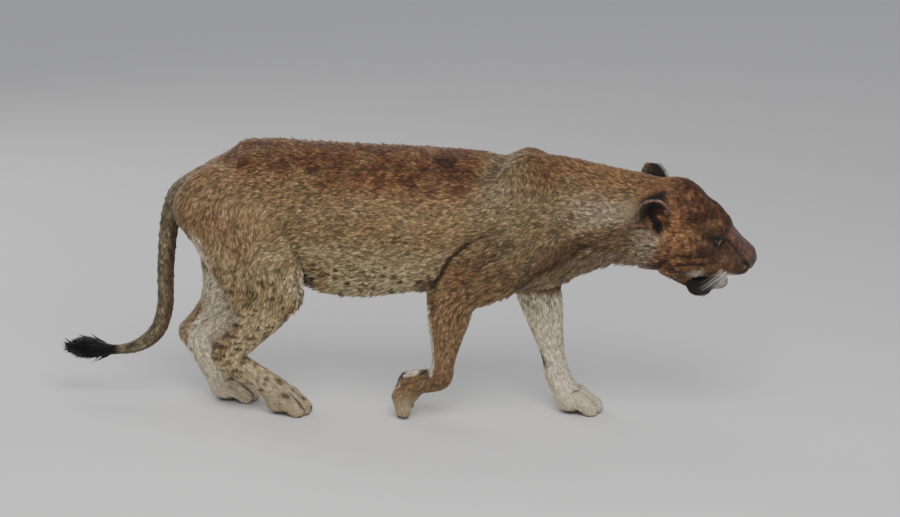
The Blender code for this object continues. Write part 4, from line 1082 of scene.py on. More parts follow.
def paint_creases(coat, p, side):
    """Rusty blushes on thigh and elbow, white in the flank's fold, dark lines of painted shade in the
    creases.
    """
    own = soften(-0.01, 0.01, side * p[:, 1])
    flat = p * (1, 0, 1)
    s = elbow_shift(side)
    coat.lay(own * blob(flat, (-0.580, 0, 0.515), (0.030, 1, 0.034)), RED, 0.45)
    coat.lay(own * blob(flat, (-0.655, 0, 0.605), (0.026, 1, 0.030)), RED, 0.45)
    coat.lay(own * blob(flat, (0.033 + s, 0, 0.462), (0.050, 1, 0.036)), RED, 0.42)
    coat.lay(own * blob(flat, (-0.402, 0, 0.408), (0.022, 1, 0.030)) ** 0.7, WHITE, 0.9)
    behind, before = arm_creases(side)
    # Dark lines along the arm creases and the flank fold: painted shade.
    coat.lay(own * near(flat, behind, 0.0075), CREASE_SHADE, 0.9)
    coat.lay(own * near(flat, before, 0.0100), CREASE_SHADE, 0.65)
    coat.lay(own * near(flat, [(-0.376, 0, 0.398), (-0.380, 0, 0.425)], 0.006), CREASE_SHADE, 0.6)


def paint_dashes(coat, p):
    """Faint brown dashes low on the flanks and belly."""
    x, y, z = p.T
    flank = soften(0.50, 0.43, z) * soften(0.33, 0.37, z) * soften(-0.46, -0.40, x) * soften(0.02, -0.04, x)
    thigh = soften(0.60, 0.50, z) * soften(0.34, 0.42, z) * soften(-0.44, -0.50, x)
    marks = spots(0.45 * x, z - 0.6 * np.abs(y), 0.0160, 0.0036, 0.85, 31)
    coat.lay(marks * flank, BROWN_SPOT, 0.90)
    coat.lay(marks * thigh, BROWN_SPOT, 0.45)


FOREHEAD, BROW, CHEEK = tone(72, 45, 28), tone(36, 19, 12), tone(80, 56, 37)
MUZZLE, BRIDGE, LIP_WHITE = tone(60, 42, 31), tone(80, 61, 58), tone(140, 129, 114)
EAR_INSIDE, TEAR, UNDER_EYE_SHADE = tone(46, 20, 13), tone(14, 8, 7), tone(56, 41, 31)
LIGHT_STREAK, OLIVE = tone(112, 80, 52), tone(64, 50, 34)
BEFORE_EAR, EAR_RIM = tone(124, 84, 52), tone(118, 90, 78)
LIPS = [(0.176, 0.008, -0.052), (0.158, 0.034, -0.062), (0.120, 0.046, -0.072), (0.080, 0.052, -0.086),
        (0.046, 0.058, -0.092)]


def to_head(points):
    """Body points in the head's own axes: forward, left, up."""
    return (points - np.array(HEAD_CENTRE)) @ head_turn() / HEAD_SCALE


def one_side(h):
    """Points in head axes with both sides of the head laid on its left one."""
    return h * (1, 0, 1) + np.stack([0 * h[:, 0], np.abs(h[:, 1]), 0 * h[:, 0]], 1)


def lip_flap(h):
    """Distance from the middle of the lower lip's loose flap, 1 on its oval edge."""
    x, _, z = h.T
    return np.hypot((x - 0.067) / 0.042, (z + 0.106 - 0.15 * (x - 0.067)) / 0.0275)


def paint_head(h):
    """Colours of the head, from points in head axes."""
    x, z = h[:, 0], h[:, 2]
    fine, patch = mottle(h, 0.010, 13), mottle(h, 0.022, 16)
    coat = Paint(CHEEK, len(h))
    s = one_side(h)
    coat.lay(soften(0.030, 0.070, z + 0.02 * (patch - 0.5)), FOREHEAD)
    coat.lay(soften(0.55, 0.85, patch), BROW, 0.42)
    coat.lay(soften(0.45, 0.15, patch), LIGHT_STREAK, 0.40)
    coat.lay(near(s, [(-0.034, 0.074, 0.050), (-0.022, 0.078, 0.005)], 0.020), BEFORE_EAR, 0.60)
    strands = mottle(h * (1, 1, 0.3), 0.0075, 20)
    coat.lay(soften(0.48, 0.75, strands), BROW, 0.62)
    coat.lay(soften(0.42, 0.18, strands), LIGHT_STREAK, 0.48)
    coat.lay(soften(-0.045, -0.085, x) * soften(0.035, 0.000, z), NECK_PALE, 0.80)
    coat.lay(soften(-0.040, -0.080, x) * soften(0.060, 0.090, z), NECK_TOP, 0.60)
    # Crown and brow: dark streaks on the forehead and a dark patch over each eye, olive beneath it.
    coat.lay(near(s, [(-0.020, 0.0, 0.138), (0.020, 0.0, 0.118), (0.050, 0.0, 0.095)], 0.022), BROW, 0.70)
    over_eye = near(s, [(0.004, 0.062, 0.070), (0.046, 0.038, 0.082)], 0.015)
    coat.lay(over_eye * (0.6 + 0.7 * fine), BROW, 0.85)
    coat.lay(near(s, [(0.030, 0.062, 0.050), (0.050, 0.058, 0.044)], 0.013), OLIVE, 0.8)
    coat.lay(near(s, [(0.086, 0.016, 0.072), (0.106, 0.012, 0.052)], 0.009), BROW, 0.6)
    paint_muzzle(coat, s)
    paint_chin(coat, h)
    paint_lips(coat, h)
    for side in (-1, 1):
        eye = to_head(eye_centre(side)[None])[0]
        ring = np.linalg.norm((h - eye - 0.017 * eye_gaze(side)) * (1, 1, 1.35), axis=1)
        coat.lay(soften(0.0235, 0.0180, ring), TEAR, 0.97)
    lid_line = [(0.050, 0.056, 0.027), (0.073, 0.056, 0.034), (0.089, 0.040, 0.040), (0.090, 0.035, 0.048)]
    coat.lay(near(s, lid_line, 0.0062), TEAR, 0.95)
    paint_ears(coat, h)
    return coat.colour


def paint_muzzle(coat, s):
    """Grey-brown under the eye, partly painted shade; bare mauve-brown bridge and nose end; dark side; cheek
    folds.
    """
    strokes = (
        # Grey-brown under the eye: the skin's own colour deepened by painted shade.
        ([(0.090, 0.044, -0.004), (0.072, 0.058, -0.010)], 0.0105, UNDER_EYE_SHADE, 0.75),
        ([(0.128, 0.0, 0.036), (0.172, 0.0, 0.000)], 0.036, BRIDGE, 0.97),
        ([(0.056, 0.068, -0.004), (0.080, 0.056, -0.010), (0.110, 0.046, -0.008)], 0.014, MUZZLE, 0.6),
        # The brown line along the eye bag: painted shade in its crease.
        ([(0.045, 0.070, -0.008), (0.078, 0.056, -0.012)], 0.009, BROW, 0.55),
        ([(0.070, 0.058, -0.050), (0.095, 0.054, -0.045)], 0.011, LIGHT_STREAK, 0.40),
        ([(0.100, 0.050, -0.030), (0.150, 0.048, -0.040)], 0.018, MUZZLE, 0.65),
    )
    for path, radius, hue, strength in strokes:
        coat.lay(near(s, path, radius), hue, strength)
    # Along each fold of the cheek: painted light just above it and painted shade in it.
    for path in CHEEK_FOLDS:
        coat.lay(near(s + (0, 0, 0.010), path, 0.0050), LIGHT_STREAK, 0.55)
        coat.lay(near(s, path, 0.0050), BROW, 0.90)


def paint_chin(coat, h):
    """White chin and lip, ruff of the throat, and rows of dark whisker roots on the upper lip."""
    x, z = h[:, 0], h[:, 2]
    s = one_side(h)
    coat.lay(soften(-0.088, -0.104, z) * soften(0.05, 0.09, x), LIP_WHITE, 0.9)
    coat.lay(near(s, [(0.040, 0.061, -0.074), (0.052, 0.060, -0.072)], 0.013), LIP_WHITE, 0.85)
    coat.lay(blob(h, (0.112, 0.0, -0.100), (0.034, 0.045, 0.020)) ** 0.6, LIP_WHITE, 0.9)
    coat.lay(soften(-0.070, -0.100, z) * soften(0.035, -0.01, x), FRINGE, 0.75)
    for row in range(4):
        start, end = (0.158, 0.040, -0.030 - 0.009 * row), (0.100, 0.054, -0.030 - 0.010 * row)
        gap, walked = along(s, [start, end])
        beat = 0.5 + 0.5 * np.cos(2 * np.pi * walked / 0.0105)
        coat.lay(np.exp(-((gap / 0.0028) ** 2)) * beat**2, BROW, 0.85)


def paint_lips(coat, h):
    """Black lips with the loose flap of the lower one, the groove from eye to nostril, and the nostril."""
    x, y, z = h.T
    s = one_side(h)
    coat.lay(near(s, LIPS, 0.0055) ** 0.5, BLACK, 0.97)
    coat.lay(soften(1.04, 0.90, lip_flap(h)) * soften(0.016, 0.026, np.abs(y)), BLACK, 0.98)
    lip_corner = soften(0.035, 0.022, np.abs(x - 0.085))
    coat.lay(lip_corner * soften(-0.072, -0.080, z) * soften(-0.104, -0.096, z), BLACK, 0.98)
    groove = [(0.098, 0.036, 0.026), (0.126, 0.033, 0.006), (0.139, 0.036, -0.006)]
    coat.lay(near(s, groove, 0.0050), TEAR, 0.88)
    nostril = near(s, [(0.150, 0.040, -0.012), (0.158, 0.041, -0.019), (0.168, 0.034, -0.024)], 0.0058)
    coat.lay(nostril**0.7, BLACK, 0.97)
    # A dark line along the lower edge of the nose: painted shadow.
    coat.lay(near(s, [(0.172, 0.020, -0.034), (0.160, 0.036, -0.030)], 0.0040), TEAR, 0.85)
    coat.lay(blob(s, (0.1605, 0.044, -0.0285), (0.0028, 0.006, 0.0030)), LIP_WHITE, 0.6)


def paint_ears(coat, h):
    """Black backs, thin pale rims, dark red-brown inside (partly painted shade) round a hollow of painted
    shade.
    """
    for side in (-1, 1):
        across, opening, tip = ((h - ear_base(side)) @ ear_frame(side)).T
        ear = soften(0.012, 0.030, tip) * soften(0.065, 0.050, np.abs(across))
        ear = ear * soften(0.070, 0.050, np.abs(opening))
        rim = np.abs(np.hypot(across / 0.043, (tip - 0.040) / 0.056) - 0.93)
        coat.lay(ear * soften(0.002, -0.006, opening), BLACK, 0.95)
        # The inside's dark red-brown is partly painted shade in the cup.
        coat.lay(ear * soften(-0.010, 0.000, opening), EAR_INSIDE)
        lift = 0.006 + 0.006 * side
        inner = soften(-0.006, 0.002, opening)
        coat.lay(inner * blob(h, (-0.135, side * 0.104, 0.073 + lift), (0.018, 0.03, 0.018)), RED, 0.55)
        coat.lay(inner * blob(h, (-0.088, side * 0.080, 0.070 + lift), (0.020, 0.03, 0.018)), RED, 0.60)
        # The black hollow deep in the ear: painted shade.
        canal = ((-0.121, 0.086, 0.080), (-0.100, 0.088, 0.054), (-0.079, 0.088, 0.030))
        hollow = [(x, side * y, z + lift) for x, y, z in canal]
        coat.lay(soften(0.15, 0.60, near(h, hollow, 0.0125)), BLACK, 0.96)
        edge = LIP_WHITE if side > 0 else EAR_RIM
        coat.lay(ear * soften(0.13, 0.05, rim) * soften(-0.016, -0.004, opening), edge, 0.80)


def paint(p, n):
    """Base colour of skin and coat at points with normals: markings of body and head, with painted shade."""
    h = to_head(p)
    colour = paint_body(p, n)
    in_head = soften(-0.175, -0.110, h[:, 0] + 0.3 * np.minimum(h[:, 2], 0)) * soften(0.50, 0.56, p[:, 0])
    head = in_head > 0
    colour[head] = tint(colour[head], in_head[head], paint_head(h[head]))
    grain = 0.80 + 0.26 * mottle(p, 0.006, 14) + 0.20 * mottle(p, 0.020, 17)
    return np.clip(colour * grain[:, None], 0.0, 0.95)


# ---------------------------------------------------------------- meshes and materials
# From the body's axes to the frame's: the left eyeball goes to the middle of the frame's eye_left.
shift = sum(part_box("eye_left"), Vector()) / 2 - Vector(eye_centre(1))


def put(name, points, faces, material, slot):
    """A mesh from points in the body's axes and faces of one size, moved to the frame's origin."""
    size = faces.shape[1]
    mesh = bpy.data.meshes.new(name)
    mesh.vertices.add(len(points))
    mesh.vertices.foreach_set("co", (points + np.array(shift)).astype(np.float32).ravel())
    mesh.loops.add(faces.size)
    mesh.loops.foreach_set("vertex_index", faces.astype(np.int32).ravel())
    mesh.polygons.add(len(faces))
    mesh.polygons.foreach_set("loop_start", np.arange(0, faces.size, size, dtype=np.int32))
    mesh.polygons.foreach_set("use_smooth", np.ones(len(faces), bool))
    mesh.update(calc_edges=True)
    mesh.materials.append(material)
    obj = bpy.data.objects.new(name, mesh)
    bpy.context.scene.collection.objects.link(obj)
    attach(obj, "root")
    return obj


def set_vectors(obj, name, vectors):
    """An attribute of a piece's points with three values to each."""
    rows = obj.data.attributes.new(name, "FLOAT_VECTOR", "POINT").data
    rows.foreach_set("vector", vectors.astype(np.float32).ravel())


def dress(obj, colours, directions):
    """Give a piece its markings, painted light and shade, and the lie of its hair, as attributes of its
    points.
    """
    rgba = np.concatenate([colours, np.ones((len(colours), 1))], 1).astype(np.float32)
    obj.data.attributes.new("Paint", "FLOAT_COLOR", "POINT").data.foreach_set("color", rgba.ravel())
    set_vectors(obj, "Lie", directions)


def node(tree, kind, inputs=None, **settings):
    """A node with its settings; inputs maps a socket to a value or to the socket that feeds it."""
    made = tree.nodes.new(kind)
    for key, value in settings.items():
        setattr(made, key, value)
    for key, value in (inputs or {}).items():
        if isinstance(value, bpy.types.NodeSocket):
            tree.links.new(value, made.inputs[key])
        else:
            made.inputs[key].default_value = value
    return made


def vector_math(tree, operation, inputs):
    """The outputs of one vector operation."""
    return node(tree, "ShaderNodeVectorMath", inputs, operation=operation).outputs


def noise(tree, place, scale, detail=2.0, roughness=0.5):
    """Cloudy noise over a place, from 0 to 1."""
    inputs = {"Vector": place, "Scale": scale, "Detail": detail, "Roughness": roughness}
    return node(tree, "ShaderNodeTexNoise", inputs).outputs["Fac"]


def between(tree, value, low, high, least, most):
    """A value stretched from low..high to least..most."""
    span = {"Value": value, "From Min": low, "From Max": high, "To Min": least, "To Max": most}
    return node(tree, "ShaderNodeMapRange", span).outputs[0]


def ramp(tree, value, stops):
    """Colours along a value; a stop is its place and its colour."""
    made = node(tree, "ShaderNodeValToRGB", {"Fac": value})
    while len(made.color_ramp.elements) < len(stops):
        made.color_ramp.elements.new(0.5)
    for element, (place, colour) in zip(made.color_ramp.elements, stops):
        element.position = place
        element.color = (*colour, 1.0)
    return made.outputs["Color"]


def object_place(tree):
    """Places in a piece's own axes."""
    return node(tree, "ShaderNodeTexCoord").outputs["Object"]


def new_material(name, values):
    """A material's node tree and its shader, with constant values on the shader's sockets."""
    material = bpy.data.materials.new(name)
    material.use_nodes = True
    shader = material.node_tree.nodes["Principled BSDF"]
    for socket, value in values.items():
        shader.inputs[socket].default_value = value
    return material, material.node_tree, shader


def new_group(name, inputs, outputs):
    """An empty node group with its sockets; inputs and outputs are name: type."""
    group = bpy.data.node_groups.new(name, "ShaderNodeTree")
    for in_out, sockets in (("INPUT", inputs), ("OUTPUT", outputs)):
        for label, kind in sockets.items():
            group.interface.new_socket(label, in_out=in_out, socket_type=kind)
    return group, group.nodes.new("NodeGroupInput"), group.nodes.new("NodeGroupOutput")


def hair_grain():
    """Fine streaks along the lie of the hair: noise whose place along the hair is shrunk to a seventh."""
    group, source, sink = new_group(
        "hair grain",
        {"Position": "NodeSocketVector", "Lie": "NodeSocketVector", "Colour": "NodeSocketColor"},
        {"Colour": "NodeSocketColor", "Height": "NodeSocketFloat"},
    )
    place, lie_of = source.outputs["Position"], source.outputs["Lie"]
    far = vector_math(group, "DOT_PRODUCT", {0: place, 1: lie_of})["Value"]
    share = node(group, "ShaderNodeMath", {0: far, 1: 0.86}, operation="MULTIPLY").outputs[0]
    back = vector_math(group, "SCALE", {0: lie_of, "Scale": share})[0]
    shrunk = vector_math(group, "SUBTRACT", {0: place, 1: back})[0]
    hairs, locks = noise(group, shrunk, 620.0, 2.0, 0.6), noise(group, shrunk, 150.0)
    both = node(group, "ShaderNodeMath", {0: hairs, 1: locks}, operation="ADD").outputs[0]
    bright = between(group, both, 0.65, 1.35, 0.62, 1.34)
    shaded = vector_math(group, "SCALE", {0: source.outputs["Colour"], "Scale": bright})[0]
    group.links.new(shaded, sink.inputs["Colour"])
    group.links.new(both, sink.inputs["Height"])
    return group


HAIR_GRAIN = hair_grain()


def fur(name, roughness, bump):
    """A coat material: painted colour with hair grain, and the same grain as bump."""
    sheen = {"Specular IOR Level": 0.25, "Sheen Weight": 0.12, "Sheen Roughness": 0.45}
    material, tree, shader = new_material(name, {"Roughness": roughness, **sheen})
    grain = node(tree, "ShaderNodeGroup", node_tree=HAIR_GRAIN)
    colour = node(tree, "ShaderNodeAttribute", attribute_name="Paint")
    lie_of = node(tree, "ShaderNodeAttribute", attribute_name="Lie")
    tree.links.new(object_place(tree), grain.inputs["Position"])
    tree.links.new(lie_of.outputs["Vector"], grain.inputs["Lie"])
    tree.links.new(colour.outputs["Color"], grain.inputs["Colour"])
    tree.links.new(grain.outputs["Colour"], shader.inputs["Base Color"])
    height = {"Height": grain.outputs["Height"], "Strength": bump, "Distance": 0.0016}
    tree.links.new(node(tree, "ShaderNodeBump", height).outputs["Normal"], shader.inputs["Normal"])
    return material


SHORT_FUR = fur("short fur", 0.72, 0.55)
skin_lie = lie(skin_points, skin_normals)
# The skin is darkened in its folds and to half under the coat: painted shade in the folds and in the gaps
# between the tufts.
skin_colour = paint(skin_points, skin_normals) * (1.0 - 0.6 * skin_sunk)[:, None]
skin = put("skin", skin_points, skin_faces, SHORT_FUR, "coat_tawny")
dress(skin, 0.50 * skin_colour, skin_lie)
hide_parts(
    "head", "lower_jaw", "ear_left", "ear_right", "neck", "chest", "belly", "hindquarters", "tail_root",
    "tail_middle", "tail_end", "tail_tuft", "forearm_left", "forearm_right", "forepaw_left", "forepaw_right",
    "thigh_left", "thigh_right", "shank_left", "shank_right", "hindpaw_left", "hindpaw_right",
)


# ================================================================ the eyes
# Glassy balls with an amber iris round a black pupil, set behind the lids. The cornea stands out a
# little from the ball.
def eye_shape(side, rings=48, around=96):
    """Rings about the gaze: radius is the ball's, raised by up to 5% over the iris in a smooth bell."""
    turned = np.linspace(0.0, np.pi, rings + 1)[1:-1, None]
    angle = np.linspace(0.0, 2.0 * np.pi, around, endpoint=False)[None]
    radius = EYE_RADIUS * (1.0 + 0.05 * np.exp(-((turned / 0.50) ** 4)))
    gaze, outer, up = eye_axes(side)
    ring = np.cos(angle)[..., None] * outer + np.sin(angle)[..., None] * up
    points = radius[..., None] * (np.cos(turned)[..., None] * gaze + np.sin(turned)[..., None] * ring)
    ends = EYE_RADIUS * np.array([1.05 * gaze, -gaze])
    points = np.concatenate([points.reshape(-1, 3), ends]) + eye_centre(side)
    i, j = np.meshgrid(np.arange(rings - 2), np.arange(around), indexing="ij")
    a, b = (i * around + j).ravel(), (i * around + (j + 1) % around).ravel()
    quads = np.stack([a, a + around, b + around, b], 1)
    j = np.arange(around)
    top = np.stack([np.full(around, len(points) - 2), j, (j + 1) % around], 1)
    last = (rings - 2) * around
    low = np.stack([np.full(around, len(points) - 1), last + (j + 1) % around, last + j], 1)
    faces = np.concatenate([quads[:, [0, 1, 2]], quads[:, [0, 2, 3]], top, low])
    return points, faces if side > 0 else faces[:, ::-1]


def eye_material():
    """Colour by angle from the gaze: pupil, amber iris with fibres, dark edge, brown white."""
    gloss = {"Roughness": 0.12, "Specular IOR Level": 0.30, "Coat Weight": 0.15, "Coat Roughness": 0.02}
    material, tree, shader = new_material("eye", gloss)
    turn = node(tree, "ShaderNodeAttribute", attribute_name="Turn").outputs["Vector"]
    split = node(tree, "ShaderNodeSeparateXYZ", {0: turn})
    colour = ramp(tree, split.outputs["Z"], (
        (0.0, (0.002, 0.002, 0.002)), (0.082, (0.002, 0.002, 0.002)), (0.092, (0.04, 0.020, 0.006)),
        (0.13, (0.15, 0.075, 0.018)), (0.18, (0.10, 0.045, 0.012)), (0.215, (0.020, 0.010, 0.005)),
        (0.24, (0.006, 0.004, 0.004)), (0.34, (0.012, 0.008, 0.006)),
    ))
    fibres = between(tree, noise(tree, turn, 1.0, 3.0), 0.3, 0.7, 0.7, 1.25)
    shaded = vector_math(tree, "SCALE", {0: colour, "Scale": fibres})[0]
    tree.links.new(shaded, shader.inputs["Base Color"])
    return material


EYE_GLASS = eye_material()
for side, name in ((-1, "right"), (1, "left")):
    eye_points, eye_faces = eye_shape(side)
    eye = put("eyeball_" + name, eye_points, eye_faces, EYE_GLASS, "eye")
    gaze, outer, up = eye_axes(side)
    ray = (eye_points - eye_centre(side)) / np.linalg.norm(eye_points - eye_centre(side), axis=1)[:, None]
    off = np.arccos(np.clip(ray @ gaze, -1.0, 1.0)) / np.pi
    round_about = np.stack([ray @ outer, ray @ up], 1)
    round_about = 9.0 * round_about / np.maximum(np.linalg.norm(round_about, axis=1), 1e-6)[:, None]
    set_vectors(eye, "Turn", np.stack([round_about[:, 0], round_about[:, 1], off], 1))
    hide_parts("eye_" + name)


# ================================================================ the nose
# Bare pebbled skin, brown-black, round the two nostrils: a closed pad let into the skin.
def nose_shapes():
    """The bare nose: a rounded block between the nostrils' wings, narrowing to the lip."""
    yield head_blob((0.164, 0, -0.012), (0.027, 0.027, 0.020), tip=34), 0.006
    yield head_blob((0.173, 0, -0.034), (0.013, 0.010, 0.015)), 0.010
    for side in (-1, 1):
        yield head_blob((0.170, side * 0.018, -0.020), (0.018, 0.012, 0.013), splay=-side * 20), 0.006


def nostril_shapes():
    """Hollows of the two nostrils."""
    for side in (-1, 1):
        yield head_blob((0.187, side * 0.015, -0.023), (0.010, 0.007, 0.006), splay=-side * 30), 0.004


def leather():
    """Pebbled skin: cells as bump, paler cloudy patches, damp gloss."""
    material, tree, shader = new_material("nose skin", {})
    place = object_place(tree)
    pebbles = node(tree, "ShaderNodeTexVoronoi", {"Vector": place, "Scale": 520.0})
    bloom = noise(tree, place, 70.0, 4.0)
    colour = ramp(tree, bloom, ((0.35, (0.030, 0.018, 0.014)), (0.70, (0.105, 0.062, 0.050))))
    height = {"Height": pebbles.outputs["Distance"], "Strength": 0.5, "Distance": 0.0008}
    tree.links.new(colour, shader.inputs["Base Color"])
    tree.links.new(between(tree, bloom, 0.3, 0.7, 0.30, 0.50), shader.inputs["Roughness"])
    tree.links.new(node(tree, "ShaderNodeBump", height).outputs["Normal"], shader.inputs["Normal"])
    return material


nose_step = 0.0013
nose_box = ((0.78, 0.92), (-0.07, 0.09), (0.40, 0.60))
nose_field = Field(*(steps((low, nose_step, high)) for low, high in nose_box))
fill(nose_field, (nose_shapes(),), (nostril_shapes(),))
nose = put("nose_pad", *surface(nose_field), leather(), "nose_skin")
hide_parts("nose")


# ================================================================ the whiskers
# Stiff white bristles in rows on the upper lip, each a tapering tube rooted in the skin.
def bristles(starts, ways, lengths, droop, thickness=0.00045, rings=10, around=5):
    """Tubes along start + way * t + droop * t^2, for t from 0 to the length; they taper to a tenth."""
    t = np.linspace(0.0, 1.0, rings)[None, :, None]
    reach = lengths[:, None, None]
    middle = starts[:, None] + ways[:, None] * t * reach + droop[:, None] * (t * reach) ** 2
    flow = np.gradient(middle, axis=1)
    flow /= np.linalg.norm(flow, axis=2)[..., None]
    one = np.cross(flow, (0.31, 0.20, 0.93))
    one /= np.linalg.norm(one, axis=2)[..., None]
    two = np.cross(flow, one)
    radius = (thickness * (1.0 - 0.9 * t))[..., None]
    angle = np.linspace(0, 2 * np.pi, around, endpoint=False)[None, None, :, None]
    points = middle[:, :, None] + radius * (np.cos(angle) * one[:, :, None] + np.sin(angle) * two[:, :, None])
    grid = np.arange(points[..., 0].size).reshape(points.shape[:3])
    a, b = grid[:, :-1], grid[:, 1:]
    quads = np.stack([a, np.roll(a, -1, 2), np.roll(b, -1, 2), b], -1).reshape(-1, 4)
    triangles = np.concatenate([quads[:, [0, 1, 2]], quads[:, [0, 2, 3]]])
    caps = []
    for i in range(1, around - 1):
        caps.append(np.stack([grid[:, 0, 0], grid[:, 0, i + 1], grid[:, 0, i]], 1))
        caps.append(np.stack([grid[:, -1, 0], grid[:, -1, i], grid[:, -1, i + 1]], 1))
    return points.reshape(-1, 3), np.concatenate([triangles, *caps])


def horn_white():
    """White keratin with faint yellow streaks, slightly glossy."""
    material, tree, shader = new_material("whisker", {"Roughness": 0.35})
    streak = noise(tree, object_place(tree), 60.0)
    colour = ramp(tree, streak, ((0.0, (0.62, 0.56, 0.46)), (1.0, (0.92, 0.90, 0.84))))
    tree.links.new(colour, shader.inputs["Base Color"])
    return material


WHISKER = horn_white()
rng = np.random.default_rng(5)
for side, name in ((-1, "right"), (1, "left")):
    row, seat = (v.ravel() for v in np.meshgrid(np.arange(4), np.arange(5), indexing="ij"))
    jitter = rng.normal(0.0, 1.0, (len(row), 3))
    roots = np.stack([0.152 - 0.0110 * seat, side * (0.041 + 0.0025 * seat), -0.040 - 0.0060 * row], 1)
    ways = np.stack([-0.58 + 0 * seat, side * (0.34 - 0.03 * row), -0.86 - 0.03 * seat], 1) + 0.06 * jitter
    ways /= np.linalg.norm(ways, axis=1)[:, None]
    lengths = (0.072 + 0.006 * seat) * (1.0 + 0.15 * jitter[:, 0])
    bend = np.stack([-1.2 + 0 * seat, side * -1.2 + 0 * seat, 0.6 + 0 * seat], 1)
    turn = head_turn().T
    start = np.array(HEAD_CENTRE) + HEAD_SCALE * roots @ turn
    tubes = bristles(start, ways @ turn, lengths, bend @ turn)
    put("whiskers_" + name, *tubes, WHISKER, "coat_pale")


# ================================================================ the coat
# Tufts of hair over the whole skin, lying along its streams and overlapping like shingles: shortest
# on face, ears and feet, longest on throat, breast, belly and tail end.
def hair_size(p, n):
    """Length of the tufts, how far their tips stand off, and how many there are to a square centimetre."""
    x, y, z = p.T
    h = to_head(p)
    length = np.full(len(p), 0.0145)
    stand = np.full(len(p), 0.18)
    crowd = np.full(len(p), 14.0)

    def zone(mask, long, off, many):
        nonlocal length, stand, crowd
        m = np.clip(mask, 0.0, 1.0)
        length = length * (1 - m) + long * m
        stand = stand * (1 - m) + off * m
        crowd = crowd * (1 - m) + many * m

    zone(np.exp(-((y / 0.020) ** 2)) * soften(0.70, 0.76, z) * soften(0.10, 0.0, x), 0.017, 0.30, 20.0)
    zone(soften(0.50, 0.40, z) * soften(0.1, -0.5, n[:, 2]), 0.021, 0.26, 13.0)
    zone(soften(0.36, 0.44, x) * soften(0.2, -0.6, n[:, 2]) * soften(0.60, 0.52, z), 0.025, 0.34, 15.0)
    zone(soften(0.36, 0.28, z), 0.0110, 0.16, 18.0)
    zone(soften(0.12, 0.05, z), 0.0070, 0.14, 26.0)
    zone(soften(-0.735, -0.78, x), 0.0120, 0.18, 18.0)
    zone(soften(-1.000, -1.020, x), 0.048, 0.20, 34.0)
    hock_tuft = blob(p, (-0.670, -0.085, 0.235), (0.030, 0.040, 0.035)) * soften(0.1, -0.4, n[:, 0])
    zone(hock_tuft, 0.018, 0.75, 24.0)
    head = soften(-0.16, -0.09, h[:, 0]) * soften(0.52, 0.58, x)
    zone(head, 0.0115, 0.18, 22.0)
    zone(head * blob(h * (1, 0, 1), (-0.080, 0, -0.060), (0.055, 1, 0.050)), 0.020, 0.30, 20.0)
    zone(head * soften(0.00, 0.06, h[:, 0]), 0.0075, 0.15, 34.0)
    zone(head * soften(0.11, 0.14, h[:, 0]), 0.0045, 0.14, 50.0)
    zone(head * soften(-0.104, -0.116, h[:, 2]) * soften(0.05, 0.08, h[:, 0]), 0.0085, 0.28, 40.0)
    for side in (-1, 1):
        q = (h - ear_base(side)) @ ear_frame(side)
        ear = soften(0.020, 0.034, q[:, 2]) * soften(0.075, 0.055, np.abs(q[:, 0])) * (np.abs(q[:, 1]) < 0.07)
        zone(ear, 0.0075, 0.16, 30.0)
        zone(ear * soften(0.000, 0.008, q[:, 1]) * 0.7, 0.016, 0.40, 22.0)
        eye = np.linalg.norm(p - eye_centre(side), axis=1)
        crowd = crowd * soften(0.0215, 0.0240, eye)
        length = length * (0.55 + 0.45 * soften(0.024, 0.040, eye))
    # Bare skin: lips and the flap of the lower lip, nose, and the pads of the right fore foot.
    s = one_side(h)
    crowd = crowd * soften(0.003, 0.007, along(s, LIPS)[0])
    crowd = crowd * (1.0 - soften(0.98, 0.86, lip_flap(h)) * soften(0.016, 0.026, s[:, 1]))
    tip = np.linalg.norm((h - np.array((0.172, 0.0, -0.020))) / np.array((0.024, 0.030, 0.028)), axis=1)
    crowd = crowd * soften(0.95, 1.10, tip)
    pads = near(p, SOLE_PAD, 0.0165) + near(p, HEEL_PAD, 0.0135)
    crowd = crowd * (1.0 - soften(0.45, 0.70, pads))
    crowd = crowd * soften(0.0010, 0.0030, z)
    return length, stand, crowd


def seats(points, spacing, seed):
    """For each cell about a point: the way to the random seat in it, and four random values of the seat."""
    rows = np.random.default_rng(seed).random((16, 16, 16, 7))
    cell = np.floor(points / spacing).astype(int)
    for step_to in np.ndindex(3, 3, 3):
        other = cell + np.array(step_to) - 1
        i, j, k = (other % 16).T
        own = rows[i, j, k]
        yield (other + own[:, :3]) * spacing - points, own[:, 3:]


def clumps(points, way, spacing, seed):
    """Locks of hair: the way to the middle of the nearest, how far out of it, from 0 to 1, and its chance.

    Distances along the hair count for less, so the locks are longer than wide.
    """
    best = np.full(len(points), np.inf)
    toward = np.zeros_like(points)
    chance = np.zeros(len(points))
    for gap, own in seats(points, spacing, seed):
        d = (gap**2).sum(1) - 0.60 * (gap * way).sum(1) ** 2
        closer = d < best
        best = np.where(closer, d, best)
        toward = np.where(closer[:, None], gap, toward)
        chance = np.where(closer, own[:, 0], chance)
    return toward, np.clip(np.sqrt(best) / (0.62 * spacing), 0.0, 1.0), chance


